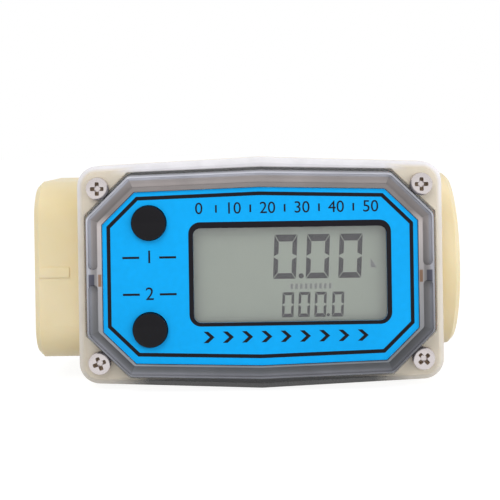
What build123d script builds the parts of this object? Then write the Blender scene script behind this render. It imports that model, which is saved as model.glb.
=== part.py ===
from build123d import *
from math import atan2, cos, degrees, hypot, radians, sin
import os

# Digital turbine flow meter, 1 inch ports, in millimetres.
# The origin is the centre of the inlet mouth. +X runs with the flow, the display faces -Y, +Z is up.

os.makedirs("parts", exist_ok=True)

# Flow body, the moulded nylon casting that the pipes screw into
inlet_overhang = 12.0
outlet_overhang = 5.5
port_thread_radius = 16.62
port_thread_depth = 18.0
bore_radius = 12.7
tube_radius = 22.5
tube_end_chamfer = 1.1
collar_width = 44.6
collar_corner_radius = 9.0
collar_chamfer = 1.3
mould_seam_height = 2.4
mould_seam_proud = 0.3
mould_seam_length = 7.5
trunk_inset = 1.0
trunk_draft = 4.0
trunk_back_y = 6.0
trunk_back_fillet = 4.0

# Face of the meter: the cover flange and the raised bezel are placed about the middle of the face
flange_side_margin = 2.75
flange_corner_margin = 2.3
flange_apex_margin = 3.25
face_corner_radius = 5.0
body_front_y = -27.5
body_flange_thickness = 4.0
cover_flange_thickness = 2.5
cover_edge_slope_in = 1.4
cover_edge_slope_back = 1.5
bezel_corner_half_height = 23.9
bezel_peak = 0.9
bezel_corner_cut = 10.0
bezel_side_cut = 9.8
bezel_height = 4.0
bezel_draft = 3.0
bezel_edge_fillet = 0.25
channel_inset = 0.4
channel_width = 2.3
channel_depth = 1.5
channel_gap = 3.6
channel_end_radius = 1.0
label_recess_inset = 3.7
label_recess_depth = 0.8
window_plate_thickness = 2.0
cavity_inset = 3.0

# Seal between cover and body
seal_outset = 1.05
seal_width = 0.7
seal_height = 1.6
seal_corner_radius = 4.0

# Cover screws, M3 pan heads
screw_side_margin = 5.25
screw_end_margin = 5.2
screw_radius = 1.5
screw_length = 12.0
screw_head_radius = 2.75
screw_head_height = 1.9
screw_head_round = 0.9
recess_span = 3.4
recess_slot = 0.8
recess_depth = 1.0
screw_clearance = 0.2
screw_turns = {(-1, 1): 0.0, (1, 1): 10.0, (-1, -1): 30.0, (1, -1): 45.0}

# Label and its openings
label_thickness = 0.25
label_gap = 0.15
window_width = 46.2
window_height = 22.6
window_corner_radius = 1.8
display_right_margin = 7.6
label_hole_clearance = 0.15

# Display stack behind the window
glass_side_border = 2.9
glass_end_border = 3.5
glass_thickness = 1.6
glass_gap = 0.15
reflector_thickness = 0.3
zebra_width = 2.0
display_frame_wall = 0.7
display_fit = 0.1

# Circuit board and what it carries
board_gap = 0.4
board_thickness = 1.6
board_front_y = -27.2
boss_side_margin = 5.5
boss_z = 8.0
boss_radius = 1.9
board_screw_radius = 0.9
board_screw_length = 4.6
board_screw_head_radius = 1.6
board_screw_head_height = 1.2
board_screw_head_taper = 15.0
switch_size = 6.0
switch_height = 1.6
switch_corner_radius = 0.6
switch_plunger_radius = 1.6
switch_plunger_height = 0.5
chip_bar_gap = 1.5
chip_length = 9.0
chip_width = 7.0
chip_height = 1.6
chip_edge_chamfer = 0.3
crystal_x = 14.5
crystal_radius = 1.5
crystal_length = 8.0
crystal_edge_chamfer = 0.35

# Pickup coil over the rotor
coil_well_radius = 7.2
coil_well_floor_y = -15.5
coil_flange_radius = 6.5
coil_flange_thickness = 0.9
coil_barrel_radius = 3.0
coil_winding_radius = 5.8
coil_core_radius = 1.6
coil_floor_gap = 0.3

# Push buttons
button_left_margin = 15.0
button_display_gap = 6.8
button_z = 12.75
button_radius = 4.15
button_hole_clearance = 0.15
button_proud = 2.1
button_dome_height = 1.2
button_foot_radius = 5.1
button_foot_height = 0.8
button_foot_gap = 0.3
ring_wire_radius = 0.42
ring_wire_sides = 8
ring_groove_radius = 3.4
ring_groove_width = 1.0

# Batteries, two AAA cells in a tray on the back of the board
cell_radius = 5.25
cell_length = 44.5
cell_nub_radius = 1.9
cell_nub_length = 1.0
cell_edge_chamfer = 0.5
cell_setback = 8.3
tray_base_thickness = 0.9
tray_wall = 0.8
tray_wall_depth = 7.5
tray_end_wall = 1.2
tray_fit = 0.15
tray_bar_width = 4.5
contact_thickness = 0.4
contact_width = 7.0
contact_height = 6.5
spring_wire_radius = 0.35
spring_wire_sides = 6
spring_length = 4.7
spring_turns = 3
spring_small_radius = 1.9
spring_large_radius = 3.2
pocket_inset = 1.6
pocket_floor_y = -19.5
pocket_corner_radius = 2.0
trough_clearance = 0.4
trough_corner_radius = 0.8

# Turbine
rotor_length = 14.0
rotor_hub_radius = 4.5
rotor_tip_gap = 0.5
blade_count = 6
blade_thickness = 1.3
blade_twist = 66.0
blade_sections = 5
blade_overcut = 0.5
shaft_radius = 1.25
shaft_running_gap = 0.05
shaft_seat = 7.0
bush_radius = 2.5
bush_length = 3.5
magnet_radius = 1.1
magnet_length = 1.7
magnet_pocket_depth = 1.9
washer_radius = 2.6
washer_thickness = 0.5
washer_gap = 0.15
guide_length = 20.0
guide_hub_radius = 4.2
guide_nose_length = 8.0
guide_vane_count = 4
guide_vane_thickness = 1.4
guide_vane_turn = 45.0
guide_ring_length = 12.0
guide_ring_wall = 1.2
guide_fit = 0.05
snap_thickness = 1.0
snap_groove_depth = 0.8
snap_width = 1.9
snap_gap_angle = 40.0
snap_ear_radius = 1.5
snap_eye_radius = 0.6

# Widths and places worked out from the sizes above: the buttons and the display set the width of the face
glass_width = window_width + 2 * glass_side_border
glass_height = window_height + 2 * glass_end_border
display_frame_width = glass_width + 2 * (display_fit + display_frame_wall)
bezel_half_width = (button_left_margin + button_display_gap + display_frame_width + display_right_margin) / 2
bezel_apex_half_height = bezel_corner_half_height + bezel_peak
bezel_corner_x = bezel_half_width - bezel_corner_cut
bezel_side_z = bezel_corner_half_height - bezel_side_cut
face_half_width = bezel_half_width + flange_side_margin
face_corner_half_height = bezel_corner_half_height + flange_corner_margin
face_apex_half_height = bezel_apex_half_height + flange_apex_margin
overall_length = inlet_overhang + 2 * face_half_width + outlet_overhang
collar_length = inlet_overhang + trunk_inset + body_flange_thickness
display_offset_x = bezel_half_width - display_right_margin - display_frame_width / 2
button_x = button_left_margin - bezel_half_width
boss_x = bezel_half_width - boss_side_margin
screw_spacing_x = 2 * (face_half_width - screw_side_margin)
screw_spacing_z = 2 * (face_corner_half_height - screw_end_margin)
cell_z = bezel_corner_half_height - cell_setback
face_x = inlet_overhang + face_half_width
flange_front_y = body_front_y - cover_flange_thickness
crest_y = flange_front_y - bezel_height
label_seat_y = crest_y + label_recess_depth
label_front_y = label_seat_y - label_thickness
cavity_top_y = label_seat_y + window_plate_thickness
board_back_y = board_front_y + board_thickness
display_front_y = cavity_top_y + glass_gap
reflector_y = display_front_y + glass_thickness
rotor_x = face_x
rotor_tip_radius = bore_radius - rotor_tip_gap
button_radius_hole = button_radius + button_hole_clearance
trunk_front_y = body_front_y + body_flange_thickness
cell_y = board_back_y + tray_base_thickness + cell_radius + tray_fit
trough_floor_y = cell_y + cell_radius + trough_clearance
tray_inner_length = cell_length + spring_length + 2 * contact_thickness
tray_length = tray_inner_length + 2 * tray_end_wall
chip_x = tray_bar_width + chip_bar_gap + (chip_length - tray_inner_length) / 2
tray_half_height = cell_z + cell_radius + tray_fit + tray_wall
screw_places = [(sx * screw_spacing_x / 2, sz * screw_spacing_z / 2) for sx in (-1, 1) for sz in (-1, 1)]
boss_places = [(sx * boss_x, sz * boss_z) for sx in (-1, 1) for sz in (-1, 1)]


def front_plane(y, x=0.0, z=0.0):
    """Plane at depth y that looks out of the front, centred x and z from the middle of the face."""
    return Plane(origin=(face_x + x, y, z), x_dir=(1, 0, 0), z_dir=(0, -1, 0))


def rear_plane(y, x=0.0, z=0.0):
    """The same plane looking towards the back."""
    return Plane(origin=(face_x + x, y, z), x_dir=(-1, 0, 0), z_dir=(0, 1, 0))


def bezel_points(grow=0.0):
    """Corners of the ten-sided bezel outline, each side moved outwards by grow."""
    slope = hypot(bezel_apex_half_height - bezel_corner_half_height, bezel_corner_x)
    top_nx = (bezel_apex_half_height - bezel_corner_half_height) / slope
    top_nz = bezel_corner_x / slope
    cut = hypot(bezel_corner_half_height - bezel_side_z, bezel_half_width - bezel_corner_x)
    cut_nx = (bezel_corner_half_height - bezel_side_z) / cut
    cut_nz = (bezel_half_width - bezel_corner_x) / cut
    top_c = top_nz * bezel_apex_half_height + grow
    cut_c = cut_nx * bezel_half_width + cut_nz * bezel_side_z + grow
    half_width = bezel_half_width + grow
    apex = (0.0, top_c / top_nz)
    cross = top_nx * cut_nz - top_nz * cut_nx
    corner = ((top_c * cut_nz - top_nz * cut_c) / cross, (top_nx * cut_c - cut_nx * top_c) / cross)
    side = (half_width, (cut_c - cut_nx * half_width) / cut_nz)
    right = [apex, corner, side, (side[0], -side[1]), (corner[0], -corner[1]), (0.0, -apex[1])]
    return right + [(-x, z) for x, z in reversed(right[1:-1])]


def bezel_shape(grow=0.0, radius=0.0, mode=Mode.ADD):
    """Adds the bezel outline to the open sketch, with its eight side corners rounded."""
    with BuildSketch(mode=Mode.PRIVATE) as shape:
        Polygon(*bezel_points(grow), align=None)
        if radius > 0:
            fillet([v for v in shape.vertices() if abs(v.X) > radius], radius)
    add(shape.sketch, mode=mode)


def face_shape(grow=0.0):
    """Adds the outline of the flange to the open sketch: a rectangle with peaked long sides."""
    half = face_half_width + grow
    corner = face_corner_half_height + grow
    apex = face_apex_half_height + grow
    with BuildSketch(mode=Mode.PRIVATE) as shape:
        Polygon((0, apex), (half, corner), (half, -corner), (0, -apex), (-half, -corner), (-half, corner),
                align=None)
        fillet([v for v in shape.vertices() if abs(v.X) > face_corner_radius], face_corner_radius + grow)
    add(shape.sketch)


# Flow body: flange, tapered trunk, pipe collars, ports, bore and the pockets behind the cover
with BuildPart() as flow_body:
    with BuildSketch(rear_plane(trunk_front_y)):
        face_shape(-trunk_inset)
    extrude(amount=trunk_back_y - trunk_front_y, taper=trunk_draft)
    fillet(flow_body.faces().sort_by(Axis.Y)[-1].edges(), trunk_back_fillet)
    with BuildSketch(rear_plane(body_front_y)):
        face_shape()
    extrude(amount=body_flange_thickness)
    with BuildSketch(Plane.YZ.offset(inlet_overhang)):
        Circle(tube_radius)
    extrude(amount=overall_length - inlet_overhang)
    chamfer(flow_body.edges().group_by(Axis.X)[-1], tube_end_chamfer)
    with BuildSketch(Plane.YZ):
        RectangleRounded(collar_width, collar_width, collar_corner_radius)
    extrude(amount=collar_length)
    chamfer(flow_body.edges().group_by(Axis.X)[0], collar_chamfer)
    with BuildSketch(Plane.XZ.offset(collar_width / 2 - collar_chamfer)):
        with Locations((collar_chamfer + mould_seam_length / 2, 0)):
            Rectangle(mould_seam_length, mould_seam_height)
    extrude(amount=collar_chamfer + mould_seam_proud)
    # Pocket for the electronics, the well for the coil and the two troughs for the cells
    with BuildSketch(front_plane(pocket_floor_y)):
        bezel_shape(-pocket_inset, pocket_corner_radius)
    extrude(amount=pocket_floor_y - body_front_y, mode=Mode.SUBTRACT)
    with BuildSketch(front_plane(coil_well_floor_y)):
        Circle(coil_well_radius)
    extrude(amount=coil_well_floor_y - pocket_floor_y, mode=Mode.SUBTRACT)
    with BuildSketch(front_plane(trough_floor_y)):
        with Locations((0, cell_z), (0, -cell_z)):
            RectangleRounded(tray_length + 2 * trough_clearance,
                             2 * (cell_radius + tray_fit + tray_wall + trough_clearance),
                             trough_corner_radius)
    extrude(amount=trough_floor_y - pocket_floor_y, mode=Mode.SUBTRACT)
    # Seal groove and the holes for the cover screws
    with BuildSketch(front_plane(body_front_y + seal_height)):
        bezel_shape(seal_outset + seal_width / 2, seal_corner_radius + seal_width / 2)
        bezel_shape(seal_outset - seal_width / 2, seal_corner_radius - seal_width / 2, mode=Mode.SUBTRACT)
    extrude(amount=seal_height, mode=Mode.SUBTRACT)
    with BuildSketch(front_plane(flange_front_y + screw_length)):
        with Locations(*screw_places):
            Circle(screw_radius)
    extrude(amount=screw_length - cover_flange_thickness, mode=Mode.SUBTRACT)
    # Threaded ports, drawn at the thread's major radius, and the bore between them
    with BuildSketch(Plane.YZ):
        Circle(bore_radius)
    extrude(amount=overall_length, mode=Mode.SUBTRACT)
    for end_plane in (Plane.YZ, Plane.YZ.offset(overall_length - port_thread_depth)):
        with BuildSketch(end_plane):
            Circle(port_thread_radius)
        extrude(amount=port_thread_depth, mode=Mode.SUBTRACT)
    for side in (-1, 1):
        ring_x = rotor_x + side * (rotor_length / 2 + washer_thickness + washer_gap + guide_length)
        with BuildSketch(Plane.YZ.offset(min(ring_x, ring_x + side * snap_thickness))):
            Circle(bore_radius + snap_groove_depth)
        extrude(amount=snap_thickness, mode=Mode.SUBTRACT)
flow_body.part.label = "flow_body"
export_step(flow_body.part, "parts/flow_body.step")

# Front cover: clear flange, raised bezel with its two C-shaped channels, recessed label seat
with BuildPart() as front_cover:
    with BuildSketch(front_plane(body_front_y)):
        face_shape()
    extrude(amount=cover_flange_thickness)
    cover_front = front_cover.faces().sort_by(Axis.Y)[0]
    chamfer(cover_front.edges(), length=cover_edge_slope_in, length2=cover_edge_slope_back,
            reference=cover_front)
    with BuildSketch(front_plane(flange_front_y)):
        bezel_shape(bezel_height * sin(radians(bezel_draft)), pocket_corner_radius)
    extrude(amount=bezel_height, taper=bezel_draft)
    fillet(front_cover.faces().sort_by(Axis.Y)[0].edges(), bezel_edge_fillet)
    with BuildSketch(front_plane(label_seat_y)):
        bezel_shape(-label_recess_inset)
    extrude(amount=label_recess_depth, mode=Mode.SUBTRACT)
    with BuildSketch(front_plane(crest_y + channel_depth)) as channel_sketch:
        bezel_shape(-channel_inset, pocket_corner_radius)
        bezel_shape(-channel_inset - channel_width, pocket_corner_radius / 2, mode=Mode.SUBTRACT)
        Rectangle(2 * face_half_width, channel_gap, mode=Mode.SUBTRACT)
        ends = [v for v in channel_sketch.vertices() if abs(v.Y) < channel_gap]
        fillet(ends, channel_end_radius)
    extrude(amount=channel_depth, mode=Mode.SUBTRACT)
    with BuildSketch(front_plane(body_front_y)):
        bezel_shape(-cavity_inset, pocket_corner_radius)
    extrude(amount=body_front_y - cavity_top_y, mode=Mode.SUBTRACT)
    with BuildSketch(front_plane(board_front_y)):
        with Locations(*boss_places):
            Circle(boss_radius)
    extrude(amount=board_front_y - cavity_top_y)
    with BuildSketch(front_plane(board_front_y)):
        with Locations(*boss_places):
            Circle(board_screw_radius)
    extrude(amount=board_screw_length - board_thickness, mode=Mode.SUBTRACT)
    with BuildSketch(front_plane(cavity_top_y)):
        with Locations((button_x, button_z), (button_x, -button_z)):
            Circle(button_radius_hole)
    extrude(amount=window_plate_thickness, mode=Mode.SUBTRACT)
    with BuildSketch(front_plane(body_front_y)):
        with Locations(*screw_places):
            Circle(screw_radius + screw_clearance)
    extrude(amount=cover_flange_thickness, mode=Mode.SUBTRACT)
front_cover.part.label = "front_cover"
export_step(front_cover.part, "parts/front_cover.step")

# Rubber seal in the groove of the body
with BuildPart() as cover_seal:
    with BuildSketch(front_plane(body_front_y + seal_height)):
        bezel_shape(seal_outset + seal_width / 2, seal_corner_radius + seal_width / 2)
        bezel_shape(seal_outset - seal_width / 2, seal_corner_radius - seal_width / 2, mode=Mode.SUBTRACT)
    extrude(amount=seal_height)
cover_seal.part.label = "cover_seal"
export_step(cover_seal.part, "parts/cover_seal.step")

# Four pan-head screws that hold the cover down
with BuildPart() as cover_screws:
    with BuildSketch(front_plane(flange_front_y + screw_length)):
        with Locations(*screw_places):
            Circle(screw_radius)
    extrude(amount=screw_length)
    with BuildSketch(front_plane(flange_front_y)):
        with Locations(*screw_places):
            Circle(screw_head_radius)
    extrude(amount=screw_head_height)
    head_tops = cover_screws.faces().group_by(Axis.Y)[0]
    chamfer([edge for top in head_tops for edge in top.edges()], screw_head_round)
    with BuildSketch(front_plane(flange_front_y - screw_head_height + recess_depth)):
        for (sx, sz), turn in screw_turns.items():
            with Locations(Location((sx * screw_spacing_x / 2, sz * screw_spacing_z / 2, 0), (0, 0, turn))):
                Rectangle(recess_span, recess_slot)
                Rectangle(recess_slot, recess_span)
    extrude(amount=recess_depth, mode=Mode.SUBTRACT)
cover_screws.part.label = "cover_screws"
export_step(cover_screws.part, "parts/cover_screws.step")

# Printed label in the recess of the cover
with BuildPart() as face_label:
    with BuildSketch(front_plane(label_seat_y)):
        bezel_shape(-label_recess_inset - label_gap)
        with Locations((display_offset_x, 0)):
            RectangleRounded(window_width, window_height, window_corner_radius, mode=Mode.SUBTRACT)
        with Locations((button_x, button_z), (button_x, -button_z)):
            Circle(button_radius + label_hole_clearance, mode=Mode.SUBTRACT)
    extrude(amount=label_thickness)
face_label.part.label = "face_label"
export_step(face_label.part, "parts/face_label.step")

# Liquid crystal glass, its reflector, the frame that centres them and the two contact strips
with BuildPart() as display_glass:
    with BuildSketch(rear_plane(display_front_y, display_offset_x)):
        Rectangle(glass_width, glass_height)
    extrude(amount=glass_thickness)
display_glass.part.label = "display_glass"
export_step(display_glass.part, "parts/display_glass.step")

zebra_z = glass_height / 2 - zebra_width / 2
with BuildPart() as display_reflector:
    with BuildSketch(rear_plane(reflector_y, display_offset_x)):
        Rectangle(glass_width, glass_height - 2 * zebra_width - 2 * display_fit)
    extrude(amount=reflector_thickness)
display_reflector.part.label = "display_reflector"
export_step(display_reflector.part, "parts/display_reflector.step")

with BuildPart() as display_frame:
    with BuildSketch(front_plane(board_front_y, display_offset_x)):
        Rectangle(display_frame_width, glass_height + 2 * (display_fit + display_frame_wall))
        with Locations((0, zebra_z), (0, -zebra_z)):
            Rectangle(glass_width - 2 * zebra_width, zebra_width, mode=Mode.SUBTRACT)
    extrude(amount=board_front_y - display_front_y)
    with BuildSketch(front_plane(reflector_y + reflector_thickness, display_offset_x)):
        Rectangle(glass_width + 2 * display_fit, glass_height + 2 * display_fit)
    extrude(amount=reflector_y + reflector_thickness - display_front_y, mode=Mode.SUBTRACT)
display_frame.part.label = "display_frame"
export_step(display_frame.part, "parts/display_frame.step")

with BuildPart() as contact_strips:
    with BuildSketch(rear_plane(reflector_y, display_offset_x)):
        with Locations((0, zebra_z), (0, -zebra_z)):
            Rectangle(glass_width - 2 * zebra_width - 2 * display_fit, zebra_width - 2 * display_fit)
    extrude(amount=board_front_y - reflector_y)
contact_strips.part.label = "contact_strips"
export_step(contact_strips.part, "parts/contact_strips.step")

# Circuit board, screwed to the bosses of the cover
with BuildPart() as circuit_board:
    with BuildSketch(rear_plane(board_front_y)):
        bezel_shape(-pocket_inset - board_gap, pocket_corner_radius)
        with Locations(*boss_places):
            Circle(board_screw_radius, mode=Mode.SUBTRACT)
        Circle(coil_core_radius, mode=Mode.SUBTRACT)
    extrude(amount=board_thickness)
circuit_board.part.label = "circuit_board"
export_step(circuit_board.part, "parts/circuit_board.step")

with BuildPart() as board_screws:
    with BuildSketch(front_plane(board_back_y)):
        with Locations(*boss_places):
            Circle(board_screw_radius)
    extrude(amount=board_screw_length)
    with BuildSketch(rear_plane(board_back_y)):
        with Locations(*boss_places):
            Circle(board_screw_head_radius)
    extrude(amount=board_screw_head_height, taper=board_screw_head_taper)
board_screws.part.label = "board_screws"
export_step(board_screws.part, "parts/board_screws.step")

with BuildPart() as tact_switches:
    with BuildSketch(front_plane(board_front_y)):
        with Locations((button_x, button_z), (button_x, -button_z)):
            RectangleRounded(switch_size, switch_size, switch_corner_radius)
    extrude(amount=switch_height)
    with BuildSketch(front_plane(board_front_y - switch_height)):
        with Locations((button_x, button_z), (button_x, -button_z)):
            Circle(switch_plunger_radius)
    extrude(amount=switch_plunger_height)
tact_switches.part.label = "tact_switches"
export_step(tact_switches.part, "parts/tact_switches.step")

with BuildPart() as controller_chip:
    with BuildSketch(rear_plane(board_back_y, chip_x)):
        Rectangle(chip_length, chip_width)
    extrude(amount=chip_height)
    chamfer(controller_chip.faces().sort_by(Axis.Y)[-1].edges(), chip_edge_chamfer)
controller_chip.part.label = "controller_chip"
export_step(controller_chip.part, "parts/controller_chip.step")

with BuildPart() as clock_crystal:
    with BuildSketch(Plane(origin=(face_x + crystal_x, board_back_y + crystal_radius, -crystal_length / 2),
                           z_dir=(0, 0, 1))):
        Circle(crystal_radius)
    extrude(amount=crystal_length)
    chamfer(clock_crystal.edges().filter_by(GeomType.CIRCLE), crystal_edge_chamfer)
clock_crystal.part.label = "clock_crystal"
export_step(clock_crystal.part, "parts/clock_crystal.step")

# Pickup coil: bobbin, copper winding and iron core, standing over the rotor
coil_end_y = coil_well_floor_y - coil_floor_gap
with BuildPart() as coil_bobbin:
    with BuildSketch(rear_plane(board_back_y)):
        Circle(coil_flange_radius)
    extrude(amount=coil_flange_thickness)
    with BuildSketch(rear_plane(board_back_y)):
        Circle(coil_barrel_radius)
    extrude(amount=coil_end_y - board_back_y)
    with BuildSketch(front_plane(coil_end_y)):
        Circle(coil_flange_radius)
    extrude(amount=coil_flange_thickness)
    with BuildSketch(rear_plane(board_back_y)):
        Circle(coil_core_radius)
    extrude(amount=coil_end_y - board_back_y, mode=Mode.SUBTRACT)
coil_bobbin.part.label = "coil_bobbin"
export_step(coil_bobbin.part, "parts/coil_bobbin.step")

with BuildPart() as coil_winding:
    with BuildSketch(rear_plane(board_back_y + coil_flange_thickness)):
        Circle(coil_winding_radius)
        Circle(coil_barrel_radius, mode=Mode.SUBTRACT)
    extrude(amount=coil_end_y - board_back_y - 2 * coil_flange_thickness)
coil_winding.part.label = "coil_winding"
export_step(coil_winding.part, "parts/coil_winding.step")

with BuildPart() as coil_core:
    with BuildSketch(rear_plane(board_front_y)):
        Circle(coil_core_radius)
    extrude(amount=coil_end_y - board_front_y)
coil_core.part.label = "coil_core"
export_step(coil_core.part, "parts/coil_core.step")

# Battery tray with the two cells, their coil springs and contact plates
with BuildPart() as battery_tray:
    with BuildSketch(rear_plane(board_back_y)):
        Rectangle(tray_length, 2 * tray_half_height)
        Rectangle(tray_length - 2 * (tray_end_wall + tray_bar_width),
                  2 * (cell_z - cell_radius - tray_fit - tray_wall), mode=Mode.SUBTRACT)
    extrude(amount=tray_base_thickness)
    trough_half = cell_radius + tray_fit
    with BuildSketch(rear_plane(board_back_y + tray_base_thickness)):
        with Locations((0, cell_z), (0, -cell_z)):
            Rectangle(tray_length, 2 * (trough_half + tray_wall))
            Rectangle(tray_inner_length, 2 * trough_half, mode=Mode.SUBTRACT)
    extrude(amount=tray_wall_depth)
    with BuildSketch(rear_plane(board_back_y)):
        with Locations((tray_inner_length / 2 - tray_bar_width / 2, 0),
                       (-tray_inner_length / 2 + tray_bar_width / 2, 0)):
            Circle(board_screw_radius)
    extrude(amount=tray_base_thickness, mode=Mode.SUBTRACT)
battery_tray.part.label = "battery_tray"
export_step(battery_tray.part, "parts/battery_tray.step")

tray_screw_x = tray_inner_length / 2 - tray_bar_width / 2
with BuildPart() as tray_screws:
    with BuildSketch(rear_plane(board_back_y)):
        with Locations((tray_screw_x, 0), (-tray_screw_x, 0)):
            Circle(board_screw_radius)
    extrude(amount=tray_base_thickness)
    with BuildSketch(rear_plane(board_back_y + tray_base_thickness)):
        with Locations((tray_screw_x, 0), (-tray_screw_x, 0)):
            Circle(board_screw_head_radius)
    extrude(amount=board_screw_head_height, taper=board_screw_head_taper)
tray_screws.part.label = "tray_screws"
export_step(tray_screws.part, "parts/tray_screws.step")


def battery(sign):
    """One cell; sign gives the side of the tray and the end that its nub points to."""
    nub_end = sign * (tray_inner_length / 2 - contact_thickness)
    tail = nub_end - sign * cell_length
    with BuildPart() as cell:
        profile = Plane(origin=(face_x + tail, cell_y, sign * cell_z), x_dir=(sign, 0, 0),
                        z_dir=(0, -1, 0))
        with BuildSketch(profile):
            with BuildLine():
                Polyline((0, 0), (0, cell_radius), (cell_length - cell_nub_length, cell_radius),
                         (cell_length - cell_nub_length, cell_nub_radius), (cell_length, cell_nub_radius),
                         (cell_length, 0), close=True)
            make_face()
        revolve(axis=Axis((face_x, cell_y, sign * cell_z), (1, 0, 0)))
        circles = cell.edges().filter_by(GeomType.CIRCLE)
        rims = circles.filter_by(lambda e: e.radius > cell_nub_radius + cell_edge_chamfer)
        chamfer(rims, cell_edge_chamfer)
    return cell


battery_upper = battery(1)
battery_upper.part.label = "battery_upper"
export_step(battery_upper.part, "parts/battery_upper.step")

battery_lower = battery(-1)
battery_lower.part.label = "battery_lower"
export_step(battery_lower.part, "parts/battery_lower.step")

with BuildPart() as contact_plates:
    for side in (-1, 1):
        for end in (-1, 1):
            start = face_x + end * (tray_inner_length / 2 - contact_thickness / 2) - contact_thickness / 2
            with BuildSketch(Plane(origin=(start, cell_y, side * cell_z), x_dir=(0, 1, 0),
                                   z_dir=(1, 0, 0))):
                RectangleRounded(contact_height, contact_width, contact_thickness)
            extrude(amount=contact_thickness)
contact_plates.part.label = "contact_plates"
export_step(contact_plates.part, "parts/contact_plates.step")

# Conical springs between the tail of each cell and its plate
with BuildPart() as contact_springs:
    for sign in (-1, 1):
        seat_x = face_x - sign * (tray_inner_length / 2 - contact_thickness)
        lead = (spring_length - 2 * spring_wire_radius) / spring_turns
        first = seat_x + sign * spring_wire_radius
        cone = degrees(atan2(spring_large_radius - spring_small_radius, lead * spring_turns))
        with BuildLine():
            coil = Helix(pitch=lead, height=lead * spring_turns, radius=spring_large_radius,
                         center=(first, cell_y, sign * cell_z), direction=(sign, 0, 0),
                         cone_angle=-cone)
        with BuildSketch(Plane(origin=coil @ 0, z_dir=coil % 0)):
            RegularPolygon(spring_wire_radius, spring_wire_sides)
        sweep(path=coil)
contact_springs.part.label = "contact_springs"
export_step(contact_springs.part, "parts/contact_springs.step")


def push_button(z):
    """Domed button with a stem, an O-ring groove and a foot that keeps it behind the cover."""
    top = label_front_y - button_proud
    foot_top = cavity_top_y + button_foot_gap
    groove_mid = (label_seat_y + cavity_top_y) / 2
    with BuildPart() as button:
        with BuildSketch(Plane(origin=(face_x + button_x, 0, z), x_dir=(1, 0, 0), z_dir=(0, 0, 1))):
            with BuildLine():
                Line((0, top), (0, foot_top + button_foot_height))
                Polyline((0, foot_top + button_foot_height),
                         (button_foot_radius, foot_top + button_foot_height),
                         (button_foot_radius, foot_top), (button_radius, foot_top),
                         (button_radius, groove_mid + ring_groove_width / 2),
                         (ring_groove_radius, groove_mid + ring_groove_width / 2),
                         (ring_groove_radius, groove_mid - ring_groove_width / 2),
                         (button_radius, groove_mid - ring_groove_width / 2),
                         (button_radius, top + button_dome_height))
                EllipticalCenterArc((0, top + button_dome_height), button_radius, button_dome_height,
                                    start_angle=270, arc_size=90)
            make_face()
        revolve(axis=Axis((face_x + button_x, 0, z), (0, 1, 0)))
    return button


def button_ring(z):
    """O-ring in the groove of a button, its round section drawn with flats."""
    middle = (label_seat_y + cavity_top_y) / 2
    with BuildPart() as ring:
        with BuildSketch(Plane(origin=(face_x + button_x, 0, z), x_dir=(1, 0, 0), z_dir=(0, 0, 1))):
            with Locations((ring_groove_radius + ring_wire_radius, middle)):
                RegularPolygon(ring_wire_radius, ring_wire_sides)
        revolve(axis=Axis((face_x + button_x, 0, z), (0, 1, 0)))
    return ring


display_button = push_button(button_z)
display_button.part.label = "display_button"
export_step(display_button.part, "parts/display_button.step")

display_button_ring = button_ring(button_z)
display_button_ring.part.label = "display_button_ring"
export_step(display_button_ring.part, "parts/display_button_ring.step")

calibrate_button = push_button(-button_z)
calibrate_button.part.label = "calibrate_button"
export_step(calibrate_button.part, "parts/calibrate_button.step")

calibrate_button_ring = button_ring(-button_z)
calibrate_button_ring.part.label = "calibrate_button_ring"
export_step(calibrate_button_ring.part, "parts/calibrate_button_ring.step")

# Turbine rotor: six helical blades lofted on a hub, with pressed bushes and two magnets
rotor_start = rotor_x - rotor_length / 2
blade_inner = bush_radius + blade_overcut
blade_outer = rotor_tip_radius + blade_overcut
with BuildPart() as rotor:
    for blade in range(blade_count):
        for section in range(blade_sections):
            share = section / (blade_sections - 1)
            angle = 360 * blade / blade_count + blade_twist * share
            with BuildSketch(Plane.YZ.offset(rotor_start + rotor_length * share)):
                with PolarLocations((blade_inner + blade_outer) / 2, 1, start_angle=angle):
                    Rectangle(blade_outer - blade_inner, blade_thickness)
        loft()
    with BuildSketch(Plane.YZ.offset(rotor_start)):
        Circle(rotor_tip_radius)
    extrude(amount=rotor_length, mode=Mode.INTERSECT)
    with BuildSketch(Plane.YZ.offset(rotor_start)):
        Circle(rotor_hub_radius)
    extrude(amount=rotor_length)
    with BuildSketch(Plane.YZ.offset(rotor_start)):
        Circle(shaft_radius + 2 * shaft_running_gap)
    extrude(amount=rotor_length, mode=Mode.SUBTRACT)
    for end_x in (rotor_start, rotor_start + rotor_length - bush_length):
        with BuildSketch(Plane.YZ.offset(end_x)):
            Circle(bush_radius)
        extrude(amount=bush_length, mode=Mode.SUBTRACT)
    magnet_angle = blade_twist / 2 + 180 / blade_count
    for turn in (magnet_angle, magnet_angle + 180):
        outward = (0, cos(radians(turn)), sin(radians(turn)))
        base = Vector(rotor_x, 0, 0) + Vector(*outward) * (rotor_hub_radius - magnet_pocket_depth)
        with BuildSketch(Plane(origin=base, x_dir=(1, 0, 0), z_dir=outward)):
            Circle(magnet_radius)
        extrude(amount=magnet_pocket_depth, mode=Mode.SUBTRACT)
rotor.part.label = "rotor"
export_step(rotor.part, "parts/rotor.step")

with BuildPart() as rotor_bushes:
    for end_x in (rotor_start, rotor_start + rotor_length - bush_length):
        with BuildSketch(Plane.YZ.offset(end_x)):
            Circle(bush_radius)
            Circle(shaft_radius + shaft_running_gap, mode=Mode.SUBTRACT)
        extrude(amount=bush_length)
rotor_bushes.part.label = "rotor_bushes"
export_step(rotor_bushes.part, "parts/rotor_bushes.step")

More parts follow.
